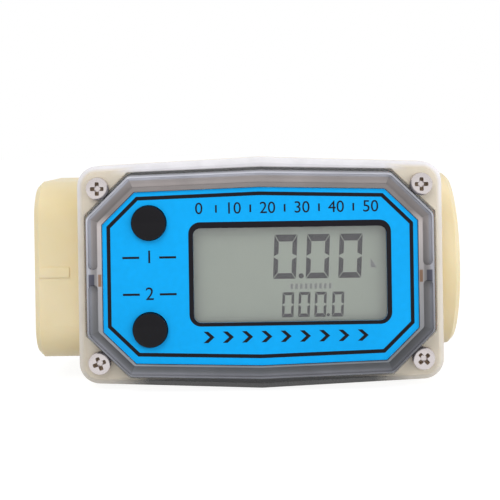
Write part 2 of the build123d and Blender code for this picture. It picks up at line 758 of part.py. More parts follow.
with BuildPart() as rotor_magnets:
    for turn in (magnet_angle, magnet_angle + 180):
        outward = (0, cos(radians(turn)), sin(radians(turn)))
        base = Vector(rotor_x, 0, 0) + Vector(*outward) * (rotor_hub_radius - magnet_pocket_depth)
        with BuildSketch(Plane(origin=base, x_dir=(1, 0, 0), z_dir=outward)):
            Circle(magnet_radius)
        extrude(amount=magnet_length)
rotor_magnets.part.label = "rotor_magnets"
export_step(rotor_magnets.part, "parts/rotor_magnets.step")

# Fixed shaft and the thrust washers on it
guide_face = rotor_length / 2 + washer_thickness + washer_gap
with BuildPart() as rotor_shaft:
    with BuildSketch(Plane.YZ.offset(rotor_x - guide_face - shaft_seat)):
        Circle(shaft_radius)
    extrude(amount=2 * (guide_face + shaft_seat))
rotor_shaft.part.label = "rotor_shaft"
export_step(rotor_shaft.part, "parts/rotor_shaft.step")

with BuildPart() as thrust_washers:
    for side in (-1, 1):
        inner = rotor_x + side * (guide_face - washer_thickness / 2) - washer_thickness / 2
        with BuildSketch(Plane.YZ.offset(inner)):
            Circle(washer_radius)
            Circle(shaft_radius, mode=Mode.SUBTRACT)
        extrude(amount=washer_thickness)
thrust_washers.part.label = "thrust_washers"
export_step(thrust_washers.part, "parts/thrust_washers.step")


def flow_guide(side):
    """Vaned support for one end of the shaft; side is -1 at the inlet and 1 at the outlet."""
    face = rotor_x + side * guide_face
    frame = Plane(origin=(face, 0, 0), x_dir=(side, 0, 0), z_dir=(0, -side, 0))
    outward = Plane(origin=(face, 0, 0), x_dir=(0, 1, 0), z_dir=(side, 0, 0))
    with BuildPart() as guide:
        with BuildSketch(frame):
            with BuildLine():
                Polyline((guide_length - guide_nose_length, guide_hub_radius), (0, guide_hub_radius), (0, 0),
                         (guide_length, 0))
                EllipticalCenterArc((guide_length - guide_nose_length, 0), guide_nose_length,
                                    guide_hub_radius, start_angle=0, arc_size=90)
            make_face()
        revolve(axis=Axis.X)
        ring_start = outward.offset(guide_length - guide_ring_length)
        with BuildSketch(ring_start):
            Circle(bore_radius - guide_fit)
            Circle(bore_radius - guide_fit - guide_ring_wall, mode=Mode.SUBTRACT)
        extrude(amount=guide_ring_length)
        vane_inner = guide_hub_radius / 2
        vane_outer = bore_radius - guide_fit - guide_ring_wall / 2
        with BuildSketch(ring_start):
            with PolarLocations((vane_inner + vane_outer) / 2, guide_vane_count, start_angle=guide_vane_turn):
                Rectangle(vane_outer - vane_inner, guide_vane_thickness)
        extrude(amount=guide_ring_length - guide_nose_length)
        with BuildSketch(outward):
            Circle(shaft_radius)
        extrude(amount=shaft_seat, mode=Mode.SUBTRACT)
    return guide


inlet_guide = flow_guide(-1)
inlet_guide.part.label = "inlet_guide"
export_step(inlet_guide.part, "parts/inlet_guide.step")

outlet_guide = flow_guide(1)
outlet_guide.part.label = "outlet_guide"
export_step(outlet_guide.part, "parts/outlet_guide.step")


def snap_ring(side):
    """Internal snap ring that keeps a guide in the bore."""
    start = rotor_x + side * (guide_face + guide_length)
    outer = bore_radius + snap_groove_depth
    eye_radius = outer - snap_ear_radius - snap_width / 2
    with BuildPart() as ring:
        with BuildSketch(Plane(origin=(start, 0, 0), x_dir=(0, 0, 1), z_dir=(side, 0, 0))):
            Circle(outer)
            Circle(outer - snap_width, mode=Mode.SUBTRACT)
            with BuildSketch(mode=Mode.PRIVATE) as opening:
                half = snap_gap_angle / 2
                reach = 2 * outer
                Polygon((0, 0), (reach * cos(radians(half)), reach * sin(radians(half))),
                        (reach * cos(radians(half)), -reach * sin(radians(half))), align=None)
            add(opening.sketch, mode=Mode.SUBTRACT)
            for ear in (-1, 1):
                with PolarLocations(eye_radius, 1, start_angle=ear * snap_gap_angle / 2):
                    Circle(snap_ear_radius)
                    Circle(snap_eye_radius, mode=Mode.SUBTRACT)
        extrude(amount=snap_thickness)
    return ring


inlet_snap_ring = snap_ring(-1)
inlet_snap_ring.part.label = "inlet_snap_ring"
export_step(inlet_snap_ring.part, "parts/inlet_snap_ring.step")

outlet_snap_ring = snap_ring(1)
outlet_snap_ring.part.label = "outlet_snap_ring"
export_step(outlet_snap_ring.part, "parts/outlet_snap_ring.step")
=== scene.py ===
import math

import bmesh
import bpy
from bpy.props import FloatProperty, FloatVectorProperty, IntProperty, PointerProperty
from mathutils import Matrix, Vector


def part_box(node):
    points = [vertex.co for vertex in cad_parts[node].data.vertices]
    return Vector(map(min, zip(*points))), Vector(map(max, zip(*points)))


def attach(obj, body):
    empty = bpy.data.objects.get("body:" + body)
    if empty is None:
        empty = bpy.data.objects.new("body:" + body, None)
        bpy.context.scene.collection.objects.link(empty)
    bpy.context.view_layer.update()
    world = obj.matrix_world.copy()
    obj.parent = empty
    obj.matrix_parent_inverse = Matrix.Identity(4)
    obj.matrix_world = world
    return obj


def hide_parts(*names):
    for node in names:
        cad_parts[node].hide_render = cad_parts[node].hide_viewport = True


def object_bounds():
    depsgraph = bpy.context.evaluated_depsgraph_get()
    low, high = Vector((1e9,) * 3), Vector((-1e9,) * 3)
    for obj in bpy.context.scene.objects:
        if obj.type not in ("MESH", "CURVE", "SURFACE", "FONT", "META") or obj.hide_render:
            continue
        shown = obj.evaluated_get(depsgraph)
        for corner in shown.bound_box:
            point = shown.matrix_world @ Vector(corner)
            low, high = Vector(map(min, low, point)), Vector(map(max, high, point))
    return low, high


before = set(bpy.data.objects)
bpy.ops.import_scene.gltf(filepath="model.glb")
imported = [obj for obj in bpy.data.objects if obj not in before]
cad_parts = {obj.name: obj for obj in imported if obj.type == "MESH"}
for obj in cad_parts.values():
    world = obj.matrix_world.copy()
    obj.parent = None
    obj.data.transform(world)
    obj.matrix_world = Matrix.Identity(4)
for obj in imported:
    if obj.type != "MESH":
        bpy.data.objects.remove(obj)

bl_info = {
    "name": "Flow meter finish",
    "version": (1, 0, 0),
    "blender": (4, 5, 0),
    "location": "View3D > Sidebar > Flow Meter",
    "description": "Dresses the packed turbine flow meter and sets its studio",
    "category": "Object",
}

MM = 0.001

# Places read from the frame, in metres
CAD_BOX = [list(corner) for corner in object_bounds()]
COVER_LOW, COVER_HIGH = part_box("front_cover")
LABEL_LOW, LABEL_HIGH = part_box("face_label")
GLASS_LOW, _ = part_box("display_glass")
SCREWS_LOW, SCREWS_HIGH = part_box("cover_screws")
BODY_LOW, BODY_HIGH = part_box("flow_body")
_, SEAL_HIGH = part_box("cover_seal")
FACE_X = (COVER_LOW.x + COVER_HIGH.x) / 2
FACE_Z = (COVER_LOW.z + COVER_HIGH.z) / 2
CREST_Y = COVER_LOW.y
LABEL_Y = LABEL_LOW.y
GLASS_Y = GLASS_LOW.y

POLYCARBONATE_IOR = 1.585
# Degrees by which the recess of each cover screw is turned
SCREW_TURNS = (20, 0, 42, 0)
# The grey levels of the bezel run over these millimetres inside its edge
RAMP_LOW = -1.0
RAMP_HIGH = 4.0
# Height of a figure in the built-in face, as a share of the text's size
FIGURE_SHARE = 0.69


def srgb(code):
    """Turns a six-digit sRGB hex code into linear red, green and blue."""
    parts = [int(code[i:i + 2], 16) / 255 for i in (0, 2, 4)]
    return tuple(c / 12.92 if c <= 0.04045 else ((c + 0.055) / 1.055) ** 2.4 for c in parts)


def length(name, description, millimetres):
    """A length property, given in millimetres and kept in metres."""
    return FloatProperty(name=name, description=description, default=millimetres * MM, unit="LENGTH",
                         precision=6)


def colour(name, description, code):
    """A colour property, given as an sRGB hex code and kept linear."""
    return FloatVectorProperty(name=name, description=description, subtype="COLOR", size=3, min=0.0, max=1.0,
                               default=srgb(code))


class FlowMeterSizes(bpy.types.PropertyGroup):
    """Sizes of the printed marks, the display figures, the screws and the threads."""
    bezel_height: length("Bezel height", "Height of the bezel over the flange of the cover", 4.0)
    bezel_half_width: length("Bezel half width", "Half the width of the bezel's crest", 41.5)
    bezel_apex: length("Bezel apex", "Half height of the bezel at its middle", 24.8)
    bezel_corner_x: length("Bezel corner x", "Where the long side of the bezel meets the cut corner", 31.5)
    bezel_corner_z: length("Bezel corner z", "Half height of the bezel at the cut corner", 23.9)
    bezel_side_z: length("Bezel side z", "Half height of the bezel's short side", 14.1)
    recess_inset: length("Recess inset", "From the crest's outer edge to the label's recess", 3.7)
    air_gap: length("Air gap", "Thin gap that keeps the clear cover off what it lies on", 0.03)
    seal_squeeze_x: length("Seal squeeze x", "How far the seal's short sides are pressed inwards", 0.75)
    seal_squeeze_z: length("Seal squeeze z", "How far the seal's long sides are pressed inwards", 0.55)
    ink_height: length("Ink height", "How far the printed marks stand off the label", 0.04)
    label_drop: length("Label drop", "How much lower the label and its recess reach at the bottom", 0.65)
    border_inset: length("Border inset", "From the crest's outer edge to the black line", 4.9)
    border_width: length("Border width", "Width of the black line round the label", 0.88)
    window_print_side: length("Window print side", "Width of the black print beside the window", 1.1)
    window_print_top: length("Window print top", "Width of the black print over the window", 1.45)
    window_print_base: length("Window print base", "Width of the black print under the window", 0.85)
    window_width: length("Window width", "Width of the window in the label", 46.2)
    window_height: length("Window height", "Height of the window in the label", 22.6)
    window_corner: length("Window corner", "Corner radius of the window", 1.8)
    window_x: length("Window x", "Middle of the window from the middle of the face", 7.1)
    key_x: length("Key x", "Middle of the two buttons from the middle of the face", -26.5)
    number_height: length("Number height", "Height of the plain numbers on the label", 3.0)
    total_digit_height: length("Total digit height", "Height of the upper figures", 10.6)
    total_digit_width: length("Total digit width", "Width of the upper figures", 5.5)
    total_digit_pitch: length("Total digit pitch", "Spacing of the upper figures", 7.83)
    total_first_x: length("Total first x", "Middle of the first upper figure", 6.0)
    total_z: length("Total z", "Middle of the upper figures", 4.05)
    rate_digit_height: length("Rate digit height", "Height of the lower figures", 6.0)
    rate_digit_width: length("Rate digit width", "Width of the lower figures", 2.8)
    rate_digit_pitch: length("Rate digit pitch", "Spacing of the lower figures", 3.9)
    rate_first_x: length("Rate first x", "Middle of the first lower figure", 6.5)
    rate_z: length("Rate z", "Middle of the lower figures", -7.5)
    head_radius: length("Head radius", "Radius of the cover screws' heads", 2.75)
    head_height: length("Head height", "Height of the cover screws' heads", 1.9)
    recess_reach: length("Recess reach", "Reach of the cross recess from the screw's middle", 1.5)
    recess_half_slot: length("Recess half slot", "Half the width of a wing of the recess", 0.36)
    recess_depth: length("Recess depth", "Depth of the cross recess", 1.15)
    thread_pitch: length("Thread pitch", "Pitch of the pipe thread, 11 turns to the inch", 2.309)
    thread_height: length("Thread height", "Height of the pipe thread", 1.35)
    thread_radius: length("Thread radius", "Major radius of the pipe thread", 16.62)
    port_depth: length("Port depth", "Depth of the threaded port", 18.0)
    thread_turns: IntProperty(name="Thread turns", description="Turns of thread in each port", default=6)


class FlowMeterColours(bpy.types.PropertyGroup):
    """Colours of the finishes."""
    nylon: colour("Nylon", "Cream of the moulded body", "EADCB8")
    nylon_warm: colour("Nylon warm", "Warmer cream where the moulding is thicker", "E2CF9C")
    clear: colour("Clear", "Tint of the clear polycarbonate", "F5F6F6")
    # Painted light and shade of the clear bezel: the channel grey is the lit upper copy, the lower channel
    # grey the shaded copy, the crest grey goes on the outer rim, and the bridge dark is painted shade under
    # each bridge
    channel: colour("Channel", "Warm grey that gathers in the upper half of the bezel's channel", "878180")
    channel_shaded: colour("Lower channel", "Cool grey in the lower half of the channel", "83868B")
    crest: colour("Crest", "Grey of the bezel's outer crest", "85868D")
    bridge_shade: colour("Bridge dark", "What shows dark under the bridges of the channel", "40404C")
    bridge_brown: colour("Bridge brown", "What shows brown beside the bridges", "6A5140")
    # The haze is painted light from the nylon under the clear flange; the haze rim colour is a painted
    # highlight on the flange's rim and top
    haze: colour("Haze", "Cream haze of the clear flange over the nylon", "E4D9C6")
    haze_highlight: colour("Haze rim", "Pale haze of the flange's rim and top", "F0EEF3")
    rubber: colour("Rubber", "Black of the seals", "1F1D22")
    zinc: colour("Zinc", "Bright plating of the screws", "CFC8C8")
    # Painted shade: the brown-grey put on the wings of each screw's recess, where shade falls in them
    recess_shade: colour("Soiled steel", "Grease and dirt in the recess of a screw", "85725F")
    # Painted light: the nylon is painted paler where the clear cover lies on it, for the light the cover
    # spreads over it
    brightened_under_cover: colour("Covered nylon", "Pale nylon of the flange, where the clear cover lies on it", "FAF3EA")
    # Painted shade: the grey that the clear flange takes in the strip under the bezel at the bottom
    strip_shade: colour("Smoke", "Grey that the clear flange takes under the bezel", "6E6E74")
    film: colour("Film", "Blue of the label", "08A8F2")
    ink: colour("Ink", "Black print on the label", "17141A")
    polariser: colour("Polariser", "Grey-green of the display", "959B90")
    segment: colour("Segment", "Dark of the display's figures", "28242D")
    button: colour("Button", "Black of the buttons", "151418")
    laminate: colour("Laminate", "Brown of the circuit board", "8A5146")
    copper: colour("Copper", "Enamelled winding wire", "B4592B")
    black_plastic: colour("Black plastic", "Frames and trays inside", "232326")
    acetal: colour("Acetal", "Natural white of the turbine", "E9E7DF")
    cell_dark: colour("Cell dark", "Dark part of the cell's sleeve", "26262B")
    cell_band: colour("Cell band", "Copper-coloured end of the cell's sleeve", "B97A3C")


def sizes():
    return bpy.context.scene.flow_meter_sizes


def colours():
    return bpy.context.scene.flow_meter_colours


# Materials

def add_node(tree, kind, inputs=None, **settings):
    """Adds a node with its settings; a socket among the inputs is linked and anything else is set."""
    node = tree.nodes.new(kind)
    for name, value in settings.items():
        setattr(node, name, value)
    for name, value in (inputs or {}).items():
        if isinstance(value, bpy.types.NodeSocket):
            tree.links.new(value, node.inputs[name])
        else:
            node.inputs[name].default_value = value
    return node


def new_material(name):
    """An empty material and its tree, or the finished one and None if it was made before."""
    made = bpy.data.materials.get(name)
    if made:
        return made, None
    material = bpy.data.materials.new(name)
    material.use_nodes = True
    material.node_tree.nodes.clear()
    return material, material.node_tree


def rgba(linear):
    return (*linear, 1.0)


def moulded_nylon():
    """Natural nylon 6, injection moulded: waxy, a little translucent, satin, with faint flow clouds."""
    material, tree = new_material("moulded_nylon")
    if tree is None:
        return material
    place = add_node(tree, "ShaderNodeTexCoord").outputs["Object"]
    clouds = add_node(tree, "ShaderNodeTexNoise", {"Vector": place, "Scale": 1 / (18 * MM), "Detail": 3.0})
    speckle = add_node(tree, "ShaderNodeTexNoise", {"Vector": place, "Scale": 1 / (0.7 * MM), "Detail": 4.0})
    amount = add_node(tree, "ShaderNodeMapRange",
                      {"Value": clouds.outputs["Fac"], "From Min": 0.35, "From Max": 0.7, "To Max": 0.55})
    tone = add_node(tree, "ShaderNodeMix", {"Factor": amount.outputs["Result"], 6: rgba(colours().nylon),
                                            7: rgba(colours().nylon_warm)}, data_type="RGBA")
    split = add_node(tree, "ShaderNodeSeparateXYZ", {"Vector": place})
    # Painted light: under the clear cover the nylon is painted paler, for the light the cover spreads over it
    bare_y = -25.0 * MM
    covered_y = -27.2 * MM
    under = add_node(tree, "ShaderNodeMapRange", {"Value": split.outputs["Y"], "From Min": bare_y,
                                                  "From Max": covered_y})
    brightened_tone = add_node(tree, "ShaderNodeMix", {"Factor": under.outputs["Result"], 6: tone.outputs[2],
                                             7: rgba(colours().brightened_under_cover)}, data_type="RGBA")
    sheen = add_node(tree, "ShaderNodeMapRange",
                     {"Value": speckle.outputs["Fac"], "To Min": 0.4, "To Max": 0.52})
    grain = add_node(tree, "ShaderNodeBump", {"Height": speckle.outputs["Fac"], "Strength": 0.12,
                                              "Distance": 0.05 * MM})
    surface = add_node(tree, "ShaderNodeBsdfPrincipled",
                       {"Base Color": brightened_tone.outputs[2], "Roughness": sheen.outputs["Result"],
                        "Normal": grain.outputs["Normal"], "IOR": 1.53, "Subsurface Weight": 0.3,
                        "Subsurface Radius": (1.0, 0.75, 0.4), "Subsurface Scale": 2.0 * MM})
    add_node(tree, "ShaderNodeOutputMaterial", {"Surface": surface.outputs["BSDF"]})
    return material


def strip_factor(tree, upward, off):
    """A socket that is 1 in the strip of painted shade on the flange under the bezel, at the bottom, and 0
    elsewhere.
    """
    low = add_node(tree, "ShaderNodeMapRange", {"Value": upward, "From Min": FACE_Z - 24.6 * MM,
                                                "From Max": FACE_Z - 25.4 * MM})
    along = add_node(tree, "ShaderNodeMapRange", {"Value": off, "From Min": 36.0 * MM, "From Max": 27.0 * MM})
    return add_node(tree, "ShaderNodeMath", {0: low.outputs["Result"], 1: along.outputs["Result"]},
                    operation="MULTIPLY").outputs["Value"]


def off_middle(tree, across):
    """A socket with how far a point lies to either side of the middle of the face."""
    aside = add_node(tree, "ShaderNodeMath", {0: across, 1: FACE_X}, operation="SUBTRACT")
    return add_node(tree, "ShaderNodeMath", {0: aside.outputs["Value"]},
                    operation="ABSOLUTE").outputs["Value"]


def see_through(tree, strip, relief=None):
    """A shader socket of polished clear plastic, tinted with painted shade in the strip, that lets light pass
    straight on.
    """
    tint = add_node(tree, "ShaderNodeMix", {"Factor": strip, 6: rgba(colours().clear),
                                            7: rgba(colours().strip_shade)}, data_type="RGBA").outputs[2]
    polished = {"Base Color": tint, "Roughness": 0.03, "IOR": POLYCARBONATE_IOR, "Transmission Weight": 1.0}
    if relief is not None:
        polished["Normal"] = relief
    surface = add_node(tree, "ShaderNodeBsdfPrincipled", polished)
    passing = add_node(tree, "ShaderNodeBsdfTransparent", {"Color": tint})
    ray = add_node(tree, "ShaderNodeLightPath").outputs
    lit = add_node(tree, "ShaderNodeMath", {0: ray["Is Shadow Ray"], 1: ray["Is Diffuse Ray"]},
                   operation="MAXIMUM")
    return add_node(tree, "ShaderNodeMixShader", {0: lit.outputs["Value"], 1: surface.outputs["BSDF"],
                                                  2: passing.outputs["BSDF"]}).outputs["Shader"]


def shown_ray(tree):
    """A socket that is 1 for what the lens sees, also in gloss or through glass, and 0 otherwise."""
    ray = add_node(tree, "ShaderNodeLightPath").outputs
    gloss = add_node(tree, "ShaderNodeMath", {0: ray["Is Camera Ray"], 1: ray["Is Glossy Ray"]},
                     operation="MAXIMUM")
    return add_node(tree, "ShaderNodeMath", {0: gloss.outputs["Value"], 1: ray["Is Transmission Ray"]},
                    operation="MAXIMUM").outputs["Value"]


def clear_polycarbonate():
    """Polished polycarbonate, moulded: clear, bright edges, a faint waviness from the mould, and painted
    shade in the strip under the bezel.
    """
    material, tree = new_material("clear_polycarbonate")
    if tree is None:
        return material
    place = add_node(tree, "ShaderNodeTexCoord").outputs["Object"]
    waves = add_node(tree, "ShaderNodeTexNoise", {"Vector": place, "Scale": 1 / (6 * MM), "Detail": 1.0})
    ripple = add_node(tree, "ShaderNodeBump", {"Height": waves.outputs["Fac"], "Strength": 0.1,
                                               "Distance": 0.05 * MM})
    split = add_node(tree, "ShaderNodeSeparateXYZ", {"Vector": place}).outputs
    strip = strip_factor(tree, split["Z"], off_middle(tree, split["X"]))
    add_node(tree, "ShaderNodeOutputMaterial",
             {"Surface": see_through(tree, strip, ripple.outputs["Normal"])})
    return material


def between(tree, value, low, high, soft):
    """A socket that is 1 where the value lies between low and high and 0 elsewhere, with soft edges."""
    rise = add_node(tree, "ShaderNodeMapRange", {"Value": value, "From Min": low - soft,
                                                 "From Max": low + soft})
    fall = add_node(tree, "ShaderNodeMapRange", {"Value": value, "From Min": high + soft,
                                                 "From Max": high - soft})
    return add_node(tree, "ShaderNodeMath", {0: rise.outputs["Result"], 1: fall.outputs["Result"]},
                    operation="MULTIPLY").outputs["Value"]


def hazy_polycarbonate():
    """The clear flange over the pale nylon: milky with painted light from the nylon, with a painted highlight
    that makes it whiter at its rim and top.
    """
    material, tree = new_material("hazy_polycarbonate")
    if tree is None:
        return material
    place = add_node(tree, "ShaderNodeTexCoord").outputs["Object"]
    clouds = add_node(tree, "ShaderNodeTexNoise", {"Vector": place, "Scale": 1 / (5 * MM), "Detail": 3.0})
    split = add_node(tree, "ShaderNodeSeparateXYZ", {"Vector": place}).outputs
    inset = bezel_inset(tree, place)[-1]
    off = off_middle(tree, split["X"])
    flange_y = CREST_Y + sizes().bezel_height
    # Painted highlight: the rim is paler in the upper part, and the top of the flange paler still
    rim = add_node(tree, "ShaderNodeMapRange", {"Value": split["Y"], "From Min": flange_y + 0.02 * MM,
                                                "From Max": flange_y + 0.9 * MM})
    upper = add_node(tree, "ShaderNodeMapRange", {"Value": split["Z"], "From Min": FACE_Z + 8 * MM,
                                                  "From Max": FACE_Z + 24 * MM, "To Min": 0.3})
    rimmed = add_node(tree, "ShaderNodeMath", {0: rim.outputs["Result"], 1: upper.outputs["Result"]},
                      operation="MULTIPLY")
    top = add_node(tree, "ShaderNodeMath", {
        0: add_node(tree, "ShaderNodeMapRange", {"Value": split["Z"], "From Min": FACE_Z + 24.0 * MM,
                                                 "From Max": FACE_Z + 25.0 * MM}).outputs["Result"],
        1: add_node(tree, "ShaderNodeMapRange", {"Value": off, "From Min": 36.0 * MM,
                                                 "From Max": 30.0 * MM}).outputs["Result"]},
                   operation="MULTIPLY")
    pale = add_node(tree, "ShaderNodeMath", {0: rimmed.outputs["Value"], 1: top.outputs["Value"]},
                    operation="MAXIMUM")
    tone = add_node(tree, "ShaderNodeMix", {"Factor": pale.outputs["Value"], 6: rgba(colours().haze),
                                            7: rgba(colours().haze_highlight)}, data_type="RGBA")
    # The haze dims towards the bottom and the left, where less of the lamp light gathers in it
    slant = add_node(tree, "ShaderNodeVectorMath", {0: place, 1: (4.0, 0.0, 10.0)}, operation="DOT_PRODUCT")
    dim = add_node(tree, "ShaderNodeMapRange", {"Value": slant.outputs["Value"],
                                                "From Min": 4.0 * FACE_X - 0.4,
                                                "From Max": 4.0 * FACE_X + 0.1, "To Min": 0.88,
                                                "To Max": 1.0})
    dimmed = add_node(tree, "ShaderNodeVectorMath", {0: tone.outputs[2], "Scale": dim.outputs["Result"]},
                      operation="SCALE")
    milky = add_node(tree, "ShaderNodeBsdfPrincipled",
                     {"Base Color": dimmed.outputs["Vector"], "Roughness": 0.2, "IOR": POLYCARBONATE_IOR,
                      "Specular IOR Level": 0.3})
    strip = strip_factor(tree, split["Z"], off)
    away = add_node(tree, "ShaderNodeMapRange", {"Value": inset, "From Min": -0.8 * MM,
                                                 "From Max": -1.15 * MM, "To Max": 0.85})
    above = add_node(tree, "ShaderNodeMapRange", {"Value": strip, "To Min": 1.0, "To Max": 0.0})
    mottle = add_node(tree, "ShaderNodeMapRange", {"Value": clouds.outputs["Fac"], "From Min": 0.35,
                                                   "From Max": 0.65, "To Min": 0.9})
    amount = add_node(tree, "ShaderNodeMath", {0: away.outputs["Result"], 1: above.outputs["Result"]},
                      operation="MULTIPLY")
    milk = add_node(tree, "ShaderNodeMath", {0: amount.outputs["Value"], 1: mottle.outputs["Result"]},
                    operation="MULTIPLY")
    both = add_node(tree, "ShaderNodeMixShader", {0: milk.outputs["Value"], 1: see_through(tree, strip),
                                                  2: milky.outputs["BSDF"]})
    add_node(tree, "ShaderNodeOutputMaterial", {"Surface": both.outputs["Shader"]})
    return material


def bezel_lines():
    """The bezel's corner from the middle of the face, and the ways its cut side and its top face."""
    size = sizes()
    corner = Vector((size.bezel_corner_x, size.bezel_corner_z))
    cut = Vector((size.bezel_corner_z - size.bezel_side_z, size.bezel_half_width - size.bezel_corner_x))
    top = Vector((size.bezel_apex - size.bezel_corner_z, size.bezel_corner_x))
    return corner, cut.normalized(), top.normalized()


def bezel_inset(tree, place):
    """Sockets in metres: how far inside the bezel's side, cut and top lines a point lies, and the least."""
    corner, cut, top = bezel_lines()
    local = add_node(tree, "ShaderNodeVectorMath", {0: place, 1: (FACE_X, 0.0, FACE_Z)}, operation="SUBTRACT")
    quarter = add_node(tree, "ShaderNodeVectorMath", {0: local.outputs["Vector"]}, operation="ABSOLUTE")
    nearest = None
    lines = []
    for outward, reach in ((Vector((1.0, 0.0)), sizes().bezel_half_width), (cut, cut.dot(corner)),
                           (top, top.dot(corner))):
        along = add_node(tree, "ShaderNodeVectorMath",
                         {0: quarter.outputs["Vector"], 1: (outward.x, 0.0, outward.y)},
                         operation="DOT_PRODUCT")
        inside = add_node(tree, "ShaderNodeMath", {0: reach, 1: along.outputs["Value"]},
                          operation="SUBTRACT").outputs["Value"]
        lines.append(inside)
        if nearest:
            inside = add_node(tree, "ShaderNodeMath", {0: nearest, 1: inside},
                              operation="MINIMUM").outputs["Value"]
        nearest = inside
    return (*lines, nearest)


def shade_ramp(tree, across, stops):
    """A grey level that follows these stops of millimetres inside the bezel's edge and level."""
    profile = add_node(tree, "ShaderNodeValToRGB", {"Fac": across})
    ramp = profile.color_ramp
    while len(ramp.elements) < len(stops):
        ramp.elements.new(1.0)
    for element, (inset, level) in zip(ramp.elements, stops):
        element.position = (inset - RAMP_LOW) / (RAMP_HIGH - RAMP_LOW)
        element.color = (level, level, level, 1.0)
    return profile.outputs["Color"]


def nearer(tree, line, first, second):
    """A socket that is 1 where this line of the bezel is nearer than the two others, and 0 elsewhere."""
    least = add_node(tree, "ShaderNodeMath", {0: first, 1: second}, operation="MINIMUM")
    return add_node(tree, "ShaderNodeMath", {0: line, 1: least.outputs["Value"]},
                    operation="LESS_THAN").outputs["Value"]


